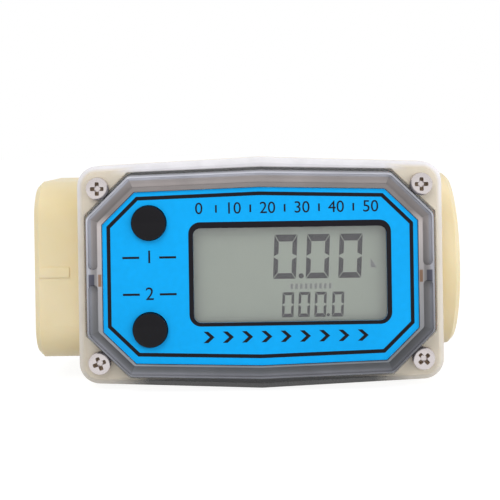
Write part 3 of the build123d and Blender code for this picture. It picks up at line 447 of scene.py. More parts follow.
def bezel_painted_shading():
    """The bezel's clear polycarbonate painted grey, with painted shade and painted highlights, paler to the
    top and at its rims.
    """
    material, tree = new_material("bezel_painted_shading")
    if tree is None:
        return material
    place = add_node(tree, "ShaderNodeTexCoord").outputs["Object"]
    drag = add_node(tree, "ShaderNodeTexNoise", {"Vector": place, "Scale": 1 / (9 * MM), "Detail": 4.0})
    blotch = add_node(tree, "ShaderNodeMapRange", {"Value": drag.outputs["Fac"], "From Min": 0.3,
                                                   "From Max": 0.7, "To Min": 0.9, "To Max": 1.1})
    # Painted light: the bezel is brighter towards the top and the left
    slope = add_node(tree, "ShaderNodeVectorMath", {0: place, 1: (-3.0, 0.0, 20.0)}, operation="DOT_PRODUCT")
    height = add_node(tree, "ShaderNodeMapRange", {"Value": slope.outputs["Value"],
                                                   "From Min": -3.0 * FACE_X - 0.5,
                                                   "From Max": -3.0 * FACE_X + 0.5, "To Min": 0.5,
                                                   "To Max": 1.55})
    split = add_node(tree, "ShaderNodeSeparateXYZ", {"Vector": place}).outputs
    side, cut, top, inset = bezel_inset(tree, place)
    across = add_node(tree, "ShaderNodeMapRange", {"Value": inset, "From Min": RAMP_LOW * MM,
                                                   "From Max": RAMP_HIGH * MM}).outputs["Result"]
    # Painted highlight near the crest's edge and painted shade deeper in the channel, on the long sides, the
    # cut corners and the short sides
    long_ramp = shade_ramp(tree, across, ((-1.0, 0.5), (0.0, 0.5), (0.25, 0.75), (0.7, 1.0), (0.95, 0.78),
                                          (1.2, 0.64), (1.6, 0.56), (2.2, 0.6), (2.7, 0.52)))
    cut_ramp = shade_ramp(tree, across, ((-1.0, 0.4), (0.0, 0.4), (0.35, 0.72), (0.7, 0.85), (0.95, 0.56),
                                         (1.3, 0.47), (1.7, 0.41), (2.2, 0.36), (2.7, 0.32)))
    side_ramp = shade_ramp(tree, across, ((-1.0, 0.6), (0.0, 0.7), (0.45, 0.85), (0.95, 0.68), (1.2, 0.6),
                                          (1.6, 0.47), (2.2, 0.43), (2.45, 0.5), (2.7, 0.8)))
    turned = add_node(tree, "ShaderNodeMix", {"Factor": nearer(tree, cut, side, top), 6: long_ramp,
                                              7: cut_ramp}, data_type="RGBA")
    walls = add_node(tree, "ShaderNodeMix", {"Factor": nearer(tree, side, cut, top), 6: turned.outputs[2],
                                             7: side_ramp}, data_type="RGBA")
    # Painted light: the land next to the label is painted bright at the sides and the bottom and dull at the
    # top
    land = add_node(tree, "ShaderNodeMapRange", {"Value": split["Z"], "From Min": FACE_Z + 12 * MM,
                                                 "From Max": FACE_Z + 15 * MM, "To Min": 0.8, "To Max": 0.32})
    inner = add_node(tree, "ShaderNodeMapRange", {"Value": inset, "From Min": 2.55 * MM,
                                                  "From Max": 2.75 * MM})
    levels = add_node(tree, "ShaderNodeMix", {"Factor": inner.outputs["Result"], 6: walls.outputs[2],
                                              7: land.outputs["Result"]}, data_type="RGBA")
    # Each short side has a bridge over the channel; under it the channel is painted dark as shade, and the
    # land beside it brown
    at_bridge = between(tree, split["Z"], FACE_Z - 2.2 * MM, FACE_Z + 0.7 * MM, 0.1 * MM)
    in_channel = between(tree, side, 0.5 * MM, 1.9 * MM, 0.1 * MM)
    on_land = between(tree, side, 2.8 * MM, 3.6 * MM, 0.1 * MM)
    dark = add_node(tree, "ShaderNodeMath", {0: at_bridge, 1: in_channel}, operation="MULTIPLY")
    brown = add_node(tree, "ShaderNodeMath", {0: at_bridge, 1: on_land}, operation="MULTIPLY")
    shade = add_node(tree, "ShaderNodeMath", {0: height.outputs["Result"], 1: levels.outputs[2]},
                     operation="MULTIPLY")
    level = add_node(tree, "ShaderNodeMath", {0: shade.outputs["Value"], 1: blotch.outputs["Result"]},
                     operation="MULTIPLY")
    gain = add_node(tree, "ShaderNodeMath", {0: level.outputs["Value"], 1: 1.9}, operation="MULTIPLY")
    # Painted light: a warmer lit grey in the upper half and a cooler shaded grey in the lower half
    warm = add_node(tree, "ShaderNodeMapRange", {"Value": split["Z"], "From Min": FACE_Z - 20 * MM,
                                                 "From Max": FACE_Z + 12 * MM})
    floor = add_node(tree, "ShaderNodeMix", {"Factor": warm.outputs["Result"], 6: rgba(colours().channel_shaded),
                                             7: rgba(colours().channel)}, data_type="RGBA")
    # The outer rim takes the crest grey of the painted shading
    rim = add_node(tree, "ShaderNodeMapRange", {"Value": inset, "From Min": 1.2 * MM, "From Max": 0.9 * MM})
    rimmed = add_node(tree, "ShaderNodeMix", {"Factor": rim.outputs["Result"], 6: floor.outputs[2],
                                              7: rgba(colours().crest)}, data_type="RGBA")
    under = add_node(tree, "ShaderNodeMix", {"Factor": dark.outputs["Value"], 6: rimmed.outputs[2],
                                             7: rgba(colours().bridge_shade)}, data_type="RGBA")
    below = add_node(tree, "ShaderNodeMix", {"Factor": brown.outputs["Value"], 6: under.outputs[2],
                                             7: rgba(colours().bridge_brown)}, data_type="RGBA")
    tone = add_node(tree, "ShaderNodeVectorMath", {0: below.outputs[2], "Scale": gain.outputs["Value"]},
                    operation="SCALE")
    surface = add_node(tree, "ShaderNodeBsdfPrincipled",
                       {"Base Color": tone.outputs["Vector"], "Roughness": 0.3, "IOR": POLYCARBONATE_IOR,
                        "Specular IOR Level": 0.3})
    add_node(tree, "ShaderNodeOutputMaterial", {"Surface": surface.outputs["BSDF"]})
    return material


def nitrile_rubber():
    """Nitrile rubber cord, moulded: matt black with a dusty sheen."""
    material, tree = new_material("nitrile_rubber")
    if tree is None:
        return material
    place = add_node(tree, "ShaderNodeTexCoord").outputs["Object"]
    dust = add_node(tree, "ShaderNodeTexNoise", {"Vector": place, "Scale": 1 / (0.5 * MM), "Detail": 3.0})
    dull = add_node(tree, "ShaderNodeMapRange", {"Value": dust.outputs["Fac"], "To Min": 0.5, "To Max": 0.75})
    grain = add_node(tree, "ShaderNodeBump", {"Height": dust.outputs["Fac"], "Strength": 0.2,
                                              "Distance": 0.03 * MM})
    surface = add_node(tree, "ShaderNodeBsdfPrincipled",
                       {"Base Color": rgba(colours().rubber), "Roughness": dull.outputs["Result"],
                        "Normal": grain.outputs["Normal"], "IOR": 1.52})
    add_node(tree, "ShaderNodeOutputMaterial", {"Surface": surface.outputs["BSDF"]})
    return material


def bright_metal(name, tint, low, high, stretch=(1.0, 1.0, 1.0)):
    """A bright metal, ground or plated: colour in the reflection and fine drawn marks in the roughness."""
    material, tree = new_material(name)
    if tree is None:
        return material
    place = add_node(tree, "ShaderNodeTexCoord").outputs["Object"]
    drawn = add_node(tree, "ShaderNodeMapping", {"Vector": place, "Scale": stretch})
    marks = add_node(tree, "ShaderNodeTexNoise", {"Vector": drawn.outputs["Vector"], "Scale": 1 / (0.4 * MM),
                                                  "Detail": 4.0})
    worn = add_node(tree, "ShaderNodeMapRange", {"Value": marks.outputs["Fac"], "To Min": low,
                                                 "To Max": high})
    relief = add_node(tree, "ShaderNodeBump", {"Height": marks.outputs["Fac"], "Strength": 0.15,
                                               "Distance": 0.02 * MM})
    surface = add_node(tree, "ShaderNodeBsdfPrincipled",
                       {"Base Color": rgba(tint), "Metallic": 1.0, "Roughness": worn.outputs["Result"],
                        "Normal": relief.outputs["Normal"]})
    add_node(tree, "ShaderNodeOutputMaterial", {"Surface": surface.outputs["BSDF"]})
    return material


def moulded_plastic(name, tint, roughness, ior=1.5, grain_mm=0.4, grain_strength=0.15, subsurface=0.0,
                    specular=0.5):
    """A moulded thermoplastic: an even colour broken by spark-eroded grain in the roughness and relief."""
    material, tree = new_material(name)
    if tree is None:
        return material
    place = add_node(tree, "ShaderNodeTexCoord").outputs["Object"]
    grain = add_node(tree, "ShaderNodeTexNoise", {"Vector": place, "Scale": 1 / (grain_mm * MM),
                                                  "Detail": 3.0})
    gloss = add_node(tree, "ShaderNodeMapRange", {"Value": grain.outputs["Fac"], "To Min": roughness * 0.85,
                                                  "To Max": roughness * 1.15})
    relief = add_node(tree, "ShaderNodeBump", {"Height": grain.outputs["Fac"], "Strength": grain_strength,
                                               "Distance": 0.03 * MM})
    surface = add_node(tree, "ShaderNodeBsdfPrincipled",
                       {"Base Color": rgba(tint), "Roughness": gloss.outputs["Result"], "IOR": ior,
                        "Normal": relief.outputs["Normal"], "Subsurface Weight": subsurface,
                        "Subsurface Scale": 1.0 * MM, "Specular IOR Level": specular})
    add_node(tree, "ShaderNodeOutputMaterial", {"Surface": surface.outputs["BSDF"]})
    return material


def printed_film():
    """Polyester label film, screen printed in blue: even, satin, with the faint mottle of the screen."""
    material, tree = new_material("printed_film")
    if tree is None:
        return material
    place = add_node(tree, "ShaderNodeTexCoord").outputs["Object"]
    mottle = add_node(tree, "ShaderNodeTexNoise", {"Vector": place, "Scale": 1 / (1.5 * MM), "Detail": 4.0})
    cloud = add_node(tree, "ShaderNodeTexNoise", {"Vector": place, "Scale": 1 / (25 * MM), "Detail": 1.0})
    spread = add_node(tree, "ShaderNodeMath", {0: mottle.outputs["Fac"], 1: cloud.outputs["Fac"]},
                      operation="ADD")
    level = add_node(tree, "ShaderNodeMapRange", {"Value": spread.outputs["Value"], "From Min": 0.7,
                                                  "From Max": 1.3, "To Min": 0.95, "To Max": 1.03})
    tone = add_node(tree, "ShaderNodeVectorMath", {0: colours().film, "Scale": level.outputs["Result"]},
                    operation="SCALE")
    relief = add_node(tree, "ShaderNodeBump", {"Height": mottle.outputs["Fac"], "Strength": 0.05,
                                               "Distance": 0.03 * MM})
    surface = add_node(tree, "ShaderNodeBsdfPrincipled",
                       {"Base Color": tone.outputs["Vector"], "Roughness": 0.38, "IOR": 1.5,
                        "Normal": relief.outputs["Normal"], "Specular IOR Level": 0.12})
    add_node(tree, "ShaderNodeOutputMaterial", {"Surface": surface.outputs["BSDF"]})
    return material


def display_polariser():
    """Reflective liquid crystal glass under its polariser film: grey-green, with painted shade darkening it
    towards its edges.
    """
    material, tree = new_material("display_polariser")
    if tree is None:
        return material
    place = add_node(tree, "ShaderNodeTexCoord").outputs["Object"]
    middle = (sizes().window_x + FACE_X, 0.0, FACE_Z)
    spread = (2 / sizes().window_width, 0.0, 2 / sizes().window_height)
    local = add_node(tree, "ShaderNodeMapping", {"Vector": place, "Location": (-middle[0] * spread[0], 0.0,
                                                                              -middle[2] * spread[2]),
                                                 "Scale": spread})
    split = add_node(tree, "ShaderNodeSeparateXYZ", {"Vector": local.outputs["Vector"]})
    across = add_node(tree, "ShaderNodeMath", {0: split.outputs["X"]}, operation="ABSOLUTE")
    upward = add_node(tree, "ShaderNodeMath", {0: split.outputs["Z"]}, operation="ABSOLUTE")
    edge = add_node(tree, "ShaderNodeMath", {0: across.outputs["Value"], 1: upward.outputs["Value"]},
                    operation="MAXIMUM")
    # Painted shade: the glass darkens towards the window's edges, where the label's edge shades it
    fall = add_node(tree, "ShaderNodeMapRange", {"Value": edge.outputs["Value"], "From Min": 0.86,
                                                 "From Max": 1.02, "To Min": 1.0, "To Max": 0.84})
    mottle = add_node(tree, "ShaderNodeTexNoise", {"Vector": place, "Scale": 1 / (5 * MM), "Detail": 2.0})
    cloud = add_node(tree, "ShaderNodeMapRange", {"Value": mottle.outputs["Fac"], "To Min": 0.96,
                                                  "To Max": 1.04})
    level = add_node(tree, "ShaderNodeMath", {0: fall.outputs["Result"], 1: cloud.outputs["Result"]},
                     operation="MULTIPLY")
    tone = add_node(tree, "ShaderNodeVectorMath", {0: colours().polariser, "Scale": level.outputs["Value"]},
                    operation="SCALE")
    surface = add_node(tree, "ShaderNodeBsdfPrincipled",
                       {"Base Color": tone.outputs["Vector"], "Roughness": 0.35, "IOR": 1.5})
    add_node(tree, "ShaderNodeOutputMaterial", {"Surface": surface.outputs["BSDF"]})
    return material


def copper_winding():
    """Enamelled copper wire, wound in close layers: each turn is a fine ridge round the bobbin."""
    material, tree = new_material("copper_winding")
    if tree is None:
        return material
    place = add_node(tree, "ShaderNodeTexCoord").outputs["Object"]
    wire = 0.25 * MM
    turns = add_node(tree, "ShaderNodeTexWave", {"Vector": place, "Scale": 1 / wire / 20},
                     bands_direction="Y", wave_profile="SIN")
    relief = add_node(tree, "ShaderNodeBump", {"Height": turns.outputs["Fac"], "Strength": 0.6,
                                               "Distance": 0.08 * MM})
    surface = add_node(tree, "ShaderNodeBsdfPrincipled",
                       {"Base Color": rgba(colours().copper), "Metallic": 1.0, "Roughness": 0.3,
                        "Normal": relief.outputs["Normal"]})
    add_node(tree, "ShaderNodeOutputMaterial", {"Surface": surface.outputs["BSDF"]})
    return material


def cell_sleeve(name, low_x, high_x, band_at_high):
    """Printed sleeve of a battery cell: a dark body, a copper-coloured band at one end, bare nickel ends."""
    material, tree = new_material(name)
    if tree is None:
        return material
    place = add_node(tree, "ShaderNodeTexCoord").outputs["Object"]
    split = add_node(tree, "ShaderNodeSeparateXYZ", {"Vector": place})
    run = add_node(tree, "ShaderNodeMapRange", {"Value": split.outputs["X"], "From Min": low_x,
                                                "From Max": high_x,
                                                "To Min": 0.0 if band_at_high else 1.0,
                                                "To Max": 1.0 if band_at_high else 0.0})
    band_start = 0.72
    tip_start = 0.975
    band = add_node(tree, "ShaderNodeMath", {0: run.outputs["Result"], 1: band_start},
                    operation="GREATER_THAN")
    tone = add_node(tree, "ShaderNodeMix", {"Factor": band.outputs["Value"], 6: rgba(colours().cell_dark),
                                            7: rgba(colours().cell_band)}, data_type="RGBA")
    tip = add_node(tree, "ShaderNodeMath", {0: run.outputs["Result"], 1: tip_start},
                   operation="GREATER_THAN")
    bare = add_node(tree, "ShaderNodeMix", {"Factor": tip.outputs["Value"], 6: tone.outputs[2],
                                            7: rgba(colours().zinc)}, data_type="RGBA")
    metal = add_node(tree, "ShaderNodeMath", {0: band.outputs["Value"], 1: tip.outputs["Value"]},
                     operation="MAXIMUM")
    surface = add_node(tree, "ShaderNodeBsdfPrincipled",
                       {"Base Color": bare.outputs[2], "Metallic": metal.outputs["Value"],
                        "Roughness": 0.28})
    add_node(tree, "ShaderNodeOutputMaterial", {"Surface": surface.outputs["BSDF"]})
    return material


def studio_floor():
    """Matt paper sweep: white to the lens and in gloss, a pale grey to everything it lights."""
    material, tree = new_material("studio_floor")
    if tree is None:
        return material
    paper = add_node(tree, "ShaderNodeBsdfDiffuse", {"Color": (0.75, 0.75, 0.75, 1.0)})
    faint = add_node(tree, "ShaderNodeBsdfDiffuse", {"Color": (0.22, 0.22, 0.22, 1.0)})
    glow = add_node(tree, "ShaderNodeEmission", {"Color": (1.0, 1.0, 1.0, 1.0), "Strength": 0.9})
    seen = add_node(tree, "ShaderNodeAddShader", {0: faint.outputs["BSDF"], 1: glow.outputs["Emission"]})
    both = add_node(tree, "ShaderNodeMixShader", {0: shown_ray(tree), 1: paper.outputs["BSDF"],
                                                  2: seen.outputs["Shader"]})
    add_node(tree, "ShaderNodeOutputMaterial", {"Surface": both.outputs["Shader"]})
    return material


# Meshes

def piece_from(name, mesh, *materials):
    """Links a mesh as an object at the origin, with these materials in the order of its faces' numbers."""
    numbers = [polygon.material_index for polygon in mesh.polygons]
    mesh.materials.clear()
    for material in materials:
        mesh.materials.append(material)
    mesh.polygons.foreach_set("material_index", numbers)
    piece = bpy.data.objects.new(name, mesh)
    bpy.context.scene.collection.objects.link(piece)
    return piece


def on_face(x, z, y):
    """Matrix that stands a flat mark up on the face: its own x and y become right and up."""
    return Matrix.Translation((FACE_X + x, y, FACE_Z + z)) @ Matrix.Rotation(math.radians(90), 4, "X")


def slab(outlines, thickness, place):
    """Mesh of flat plates with these outlines, standing proud of the given place by the thickness."""
    mesh = bpy.data.meshes.new("slab")
    plates = bmesh.new()
    for outline in outlines:
        low = [plates.verts.new((x, y, 0.0)) for x, y in outline]
        high = [plates.verts.new((x, y, thickness)) for x, y in outline]
        plates.faces.new(list(reversed(low)))
        plates.faces.new(high)
        for i in range(len(low)):
            j = (i + 1) % len(low)
            plates.faces.new((low[i], low[j], high[j], high[i]))
    bmesh.ops.recalc_face_normals(plates, faces=plates.faces)
    plates.transform(place)
    plates.to_mesh(mesh)
    plates.free()
    return mesh


def ring(outer, inner, thickness, place):
    """Mesh of a flat ring between two outlines with as many points each."""
    mesh = bpy.data.meshes.new("ring")
    band = bmesh.new()
    count = len(outer)
    loops = [[band.verts.new((x, y, z)) for x, y in outline]
             for z in (0.0, thickness) for outline in (outer, inner)]
    low_out, low_in, high_out, high_in = loops
    for i in range(count):
        j = (i + 1) % count
        for quad in ((high_out[i], high_out[j], high_in[j], high_in[i]),
                     (low_out[j], low_out[i], low_in[i], low_in[j]),
                     (low_out[i], low_out[j], high_out[j], high_out[i]),
                     (low_in[j], low_in[i], high_in[i], high_in[j])):
            band.faces.new(quad)
    bmesh.ops.recalc_face_normals(band, faces=band.faces)
    band.transform(place)
    band.to_mesh(mesh)
    band.free()
    return mesh


def bezel_outline(grow):
    """The ten-sided outline of the bezel, each side moved outwards by grow."""
    corner, cut, top = bezel_lines()
    top_reach = top.dot(corner) + grow
    cut_reach = cut.dot(corner) + grow
    half_width = sizes().bezel_half_width + grow
    apex = top_reach / top.y
    cross = top.x * cut.y - top.y * cut.x
    upper = ((top_reach * cut.y - top.y * cut_reach) / cross, (top.x * cut_reach - cut.x * top_reach) / cross)
    outer = (half_width, (cut_reach - cut.x * half_width) / cut.y)
    right = [(0.0, apex), upper, outer, (outer[0], -outer[1]), (upper[0], -upper[1]), (0.0, -apex)]
    return right + [(-x, z) for x, z in reversed(right[1:-1])]


def rounded_box(left, right, low, high, radius, steps=8):
    """Outline of a rectangle with round corners."""
    points = []
    for cx, cy, start in ((right - radius, high - radius, 0), (left + radius, high - radius, 90),
                          (left + radius, low + radius, 180), (right - radius, low + radius, 270)):
        for step in range(steps + 1):
            turn = math.radians(start + 90 * step / steps)
            points.append((cx + radius * math.cos(turn), cy + radius * math.sin(turn)))
    return points


def box(left, right, low, high):
    """Outline of a rectangle with sharp corners."""
    return [(left, low), (right, low), (right, high), (left, high)]


def disc(x, y, radius, steps=20):
    """Outline of a round dot."""
    return [(x + radius * math.cos(2 * math.pi * i / steps), y + radius * math.sin(2 * math.pi * i / steps))
            for i in range(steps)]


def nought(x, y, width, height, bars, lean=0.05):
    """Outlines of the six lit bars of a display nought; bars gives the top, side and base thicknesses."""
    top, side, base = bars
    half_w, half_h = width / 2, height / 2
    slit = height * 0.012
    waist = height * 0.035
    shapes = [[(-half_w + slit, half_h), (half_w - slit, half_h), (half_w - side, half_h - top),
               (-half_w + side, half_h - top)],
              [(-half_w + side, -half_h + base), (half_w - side, -half_h + base), (half_w - slit, -half_h),
               (-half_w + slit, -half_h)]]
    for hand in (-1, 1):
        edge, inner = hand * half_w, hand * (half_w - side)
        shapes.append([(edge, half_h - slit), (inner, half_h - top - 2 * slit), (inner, waist + side * 0.35),
                       (edge, waist * 0.4)])
        shapes.append([(edge, -waist * 0.4), (inner, -waist - side * 0.35),
                       (inner, -half_h + base + 2 * slit), (edge, -half_h + slit)])
    return [[(x + px + lean * py, y + py) for px, py in shape] for shape in shapes]


def number_mesh(text, height, thickness, place):
    """Mesh of plain numbers in the built-in face, centred on the place."""
    curve = bpy.data.curves.new("number", "FONT")
    curve.body = text
    curve.align_x = "CENTER"
    curve.align_y = "CENTER"
    curve.size = height / FIGURE_SHARE
    curve.resolution_u = 6
    curve.extrude = thickness / 2
    holder = bpy.data.objects.new("number", curve)
    bpy.context.scene.collection.objects.link(holder)
    graph = bpy.context.evaluated_depsgraph_get()
    mesh = bpy.data.meshes.new_from_object(holder.evaluated_get(graph))
    bpy.data.objects.remove(holder)
    mesh.transform(place @ Matrix.Translation((0, 0, thickness / 2)))
    return mesh


def joined(meshes):
    """One mesh out of several."""
    whole = bmesh.new()
    for mesh in meshes:
        whole.from_mesh(mesh)
    result = bpy.data.meshes.new("joined")
    whole.to_mesh(result)
    whole.free()
    return result


def geometry_tree(name, inputs):
    """A Geometry Nodes tree with named inputs; gives the tree, its input node and its output node."""
    tree = bpy.data.node_groups.new(name, "GeometryNodeTree")
    for label, kind, value in inputs:
        socket = tree.interface.new_socket(name=label, in_out="INPUT", socket_type=kind)
        if value is not None:
            socket.default_value = value
    tree.interface.new_socket(name="Geometry", in_out="OUTPUT", socket_type="NodeSocketGeometry")
    entry = tree.nodes.new("NodeGroupInput")
    leave = tree.nodes.new("NodeGroupOutput")
    return tree, entry, leave


def grown(name, tree, values, *materials):
    """Runs a Geometry Nodes tree with these inputs and keeps the result as a plain mesh piece."""
    seed = bpy.data.objects.new(name, bpy.data.meshes.new(name))
    bpy.context.scene.collection.objects.link(seed)
    maker = seed.modifiers.new("grow", "NODES")
    maker.node_group = tree
    for item in tree.interface.items_tree:
        if item.in_out == "INPUT" and item.name in values:
            maker[item.identifier] = values[item.name]
    graph = bpy.context.evaluated_depsgraph_get()
    mesh = bpy.data.meshes.new_from_object(seed.evaluated_get(graph))
    seed.modifiers.remove(maker)
    bpy.data.objects.remove(seed)
    return piece_from(name, mesh, *materials)


def row_tree():
    """Geometry Nodes: copies of one mark along a straight row that stands up on the face."""
    tree = bpy.data.node_groups.get("marks_in_a_row")
    if tree:
        return tree
    tree, entry, leave = geometry_tree("marks_in_a_row", (
        ("Mark", "NodeSocketObject", None), ("Count", "NodeSocketInt", 5), ("Step", "NodeSocketFloat", 0.001),
        ("Start", "NodeSocketVector", None), ("Ink", "NodeSocketMaterial", None)))
    step = add_node(tree, "ShaderNodeCombineXYZ", {"X": entry.outputs["Step"]})
    line = add_node(tree, "GeometryNodeMeshLine", {"Count": entry.outputs["Count"],
                                                   "Offset": step.outputs["Vector"]})
    mark = add_node(tree, "GeometryNodeObjectInfo", {"Object": entry.outputs["Mark"]})
    copies = add_node(tree, "GeometryNodeInstanceOnPoints",
                      {"Points": line.outputs["Mesh"], "Instance": mark.outputs["Geometry"]})
    placed = add_node(tree, "GeometryNodeTransform",
                      {"Geometry": copies.outputs["Instances"], "Translation": entry.outputs["Start"],
                       "Rotation": (math.radians(90), 0.0, 0.0)})
    real = add_node(tree, "GeometryNodeRealizeInstances", {"Geometry": placed.outputs["Geometry"]})
    inked = add_node(tree, "GeometryNodeSetMaterial", {"Geometry": real.outputs["Geometry"],
                                                       "Material": entry.outputs["Ink"]})
    tree.links.new(inked.outputs["Geometry"], leave.inputs["Geometry"])
    return tree


def row_of(name, outlines, thickness, count, step, x, z, y, material):
    """A piece made of one mark repeated along a row, centred on x."""
    mark = piece_from(name + "_mark", slab(outlines, thickness, Matrix.Identity(4)), material)
    start = (FACE_X + x - step * (count - 1) / 2, y, FACE_Z + z)
    piece = grown(name, row_tree(), {"Mark": mark, "Count": count, "Step": step, "Start": start,
                                     "Ink": material}, material)
    bpy.data.objects.remove(mark)
    return piece


def dress(node, material):
    """Gives a CAD node its finish."""
    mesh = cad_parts[node].data
    mesh.materials.clear()
    mesh.materials.append(material)


def fitted(piece, body):
    """The piece moves with the body."""
    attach(piece, body)


class FinishBody(bpy.types.Operator):
    """Give the moulded body its nylon finish"""
    bl_idname = "flow_meter.finish_body"
    bl_label = "Body"

    def execute(self, context):
        dress("flow_body", moulded_nylon())
        return {"FINISHED"}


def thread_tree():
    """Geometry Nodes: a pipe thread, a ridge of triangular section swept along a spiral."""
    tree, entry, leave = geometry_tree("pipe_thread", (
        ("Radius", "NodeSocketFloat", 0.016), ("Pitch", "NodeSocketFloat", 0.002),
        ("Turns", "NodeSocketFloat", 7), ("Ridge", "NodeSocketFloat", 0.001),
        ("Start", "NodeSocketVector", None), ("Finish", "NodeSocketMaterial", None)))
    rise = add_node(tree, "ShaderNodeMath", {0: entry.outputs["Pitch"], 1: entry.outputs["Turns"]},
                    operation="MULTIPLY")
    spiral = add_node(tree, "GeometryNodeCurveSpiral",
                      {"Resolution": 48, "Rotations": entry.outputs["Turns"],
                       "Start Radius": entry.outputs["Radius"], "End Radius": entry.outputs["Radius"],
                       "Height": rise.outputs["Value"]})
    upright = add_node(tree, "GeometryNodeSetCurveNormal", {"Curve": spiral.outputs["Curve"]}, mode="Z_UP")
    section = add_node(tree, "GeometryNodeCurvePrimitiveCircle", {"Resolution": 4,
                                                                  "Radius": entry.outputs["Ridge"]})
    ridge = add_node(tree, "GeometryNodeCurveToMesh",
                     {"Curve": upright.outputs["Curve"], "Profile Curve": section.outputs["Curve"],
                      "Fill Caps": True})
    placed = add_node(tree, "GeometryNodeTransform",
                      {"Geometry": ridge.outputs["Mesh"], "Translation": entry.outputs["Start"],
                       "Rotation": (0.0, math.radians(90), 0.0)})
    real = add_node(tree, "GeometryNodeRealizeInstances", {"Geometry": placed.outputs["Geometry"]})
    finished = add_node(tree, "GeometryNodeSetMaterial", {"Geometry": real.outputs["Geometry"],
                                                          "Material": entry.outputs["Finish"]})
    tree.links.new(finished.outputs["Geometry"], leave.inputs["Geometry"])
    return tree


class MakeThreads(bpy.types.Operator):
    """Sweep the pipe thread round both ports"""
    bl_idname = "flow_meter.make_threads"
    bl_label = "Pipe threads"

    def execute(self, context):
        size = sizes()
        tree = thread_tree()
        run = size.thread_pitch * size.thread_turns
        lead = (size.port_depth - run) / 2
        for name, start in (("inlet_thread", BODY_LOW.x + lead),
                            ("outlet_thread", BODY_HIGH.x - lead - run)):
            thread = grown(name, tree, {"Radius": size.thread_radius, "Pitch": size.thread_pitch,
                                        "Turns": float(size.thread_turns), "Ridge": size.thread_height,
                                        "Start": (start, 0.0, 0.0), "Finish": moulded_nylon()},
                           moulded_nylon())
            fitted(thread, "root")
        return {"FINISHED"}


def inset_of(spot):
    """How far inside the bezel's outer edge a point of the face lies."""
    corner, cut, top = bezel_lines()
    flat = Vector((abs(spot.x - FACE_X), abs(spot.z - FACE_Z)))
    return min(sizes().bezel_half_width - flat.x, cut.dot(corner - flat), top.dot(corner - flat))


def lower_recess(shell, start):
    """Moves the lower outline of the label's recess, or of the label in it, down by the label's drop."""
    size = sizes()
    for vert in shell.verts:
        on_edge = start < inset_of(vert.co) < size.recess_inset + 0.4 * MM
        if on_edge and vert.co.y < LABEL_HIGH.y + 0.01 * MM and vert.co.z < FACE_Z - 10 * MM:
            vert.co.z -= size.label_drop


def shaded(piece, angle):
    """Smooth shading up to this angle, with the large flat faces kept flat by weighted normals."""
    packed = piece.data.attributes.get("custom_normal")
    if packed:
        piece.data.attributes.remove(packed)
    piece.data.polygons.foreach_set("use_smooth", [True] * len(piece.data.polygons))
    piece.data.set_sharp_from_angle(angle=math.radians(angle))
    weigh = piece.modifiers.new("weigh", "WEIGHTED_NORMAL")
    weigh.keep_sharp = True
    graph = bpy.context.evaluated_depsgraph_get()
    mesh = bpy.data.meshes.new_from_object(piece.evaluated_get(graph))
    piece.modifiers.remove(weigh)
    piece.data = mesh


class MakeCover(bpy.types.Operator):
    """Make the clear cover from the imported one, with its grey bezel, and the seal under it"""
    bl_idname = "flow_meter.make_cover"
    bl_label = "Clear cover and seal"

    def execute(self, context):
        size = sizes()
        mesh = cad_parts["front_cover"].data.copy()
        shell = bmesh.new()
        shell.from_mesh(mesh)
        bmesh.ops.remove_doubles(shell, verts=shell.verts, dist=0.001 * MM)
        flange_y = CREST_Y + size.bezel_height
        seat_y = max(v.co.y for v in shell.verts if abs(v.co.x - FACE_X) > size.bezel_half_width)
        if flange_y > seat_y:
            raise RuntimeError("the bezel is taller than the cover")
        for vert in shell.verts:
            if vert.co.y > seat_y - 0.01 * MM:
                vert.co.y -= size.air_gap
        # The bezel's faces take the painted grey shading, and the flange's front faces take the hazy finish
        # with its painted light
        for face in shell.faces:
            spot = face.calc_center_median()
            in_front = spot.y < flange_y - 0.01 * MM
            on_bezel = in_front and -0.5 * MM < inset_of(spot) < size.recess_inset + 0.02 * MM
            on_flange = face.normal.y < -0.2 and inset_of(spot) < -0.5 * MM
            face.material_index = 1 if on_bezel else 2 if on_flange else 0
        lower_recess(shell, size.recess_inset - 0.1 * MM)
        shell.to_mesh(mesh)
        shell.free()
        cover = piece_from("clear_cover", mesh, clear_polycarbonate(), bezel_painted_shading(),
                           hazy_polycarbonate())
        shaded(cover, 28)
        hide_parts("front_cover")
        fitted(cover, "root")
        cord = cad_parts["cover_seal"].data.copy()
        squeeze_x = 1 - size.seal_squeeze_x / (SEAL_HIGH.x - FACE_X)
        squeeze_z = 1 - size.seal_squeeze_z / (SEAL_HIGH.z - FACE_Z)
        squeeze = Matrix.Diagonal((squeeze_x, 1.0, squeeze_z, 1.0))
        middle = Matrix.Translation((FACE_X, 0.0, FACE_Z))
        raised = Matrix.Translation((0.0, -size.air_gap / 2, 0.0))
        cord.transform(raised @ middle @ squeeze @ middle.inverted())
        seal = piece_from("seal_cord", cord, nitrile_rubber())
        shaded(seal, 28)
        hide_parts("cover_seal")
        fitted(seal, "root")
        return {"FINISHED"}


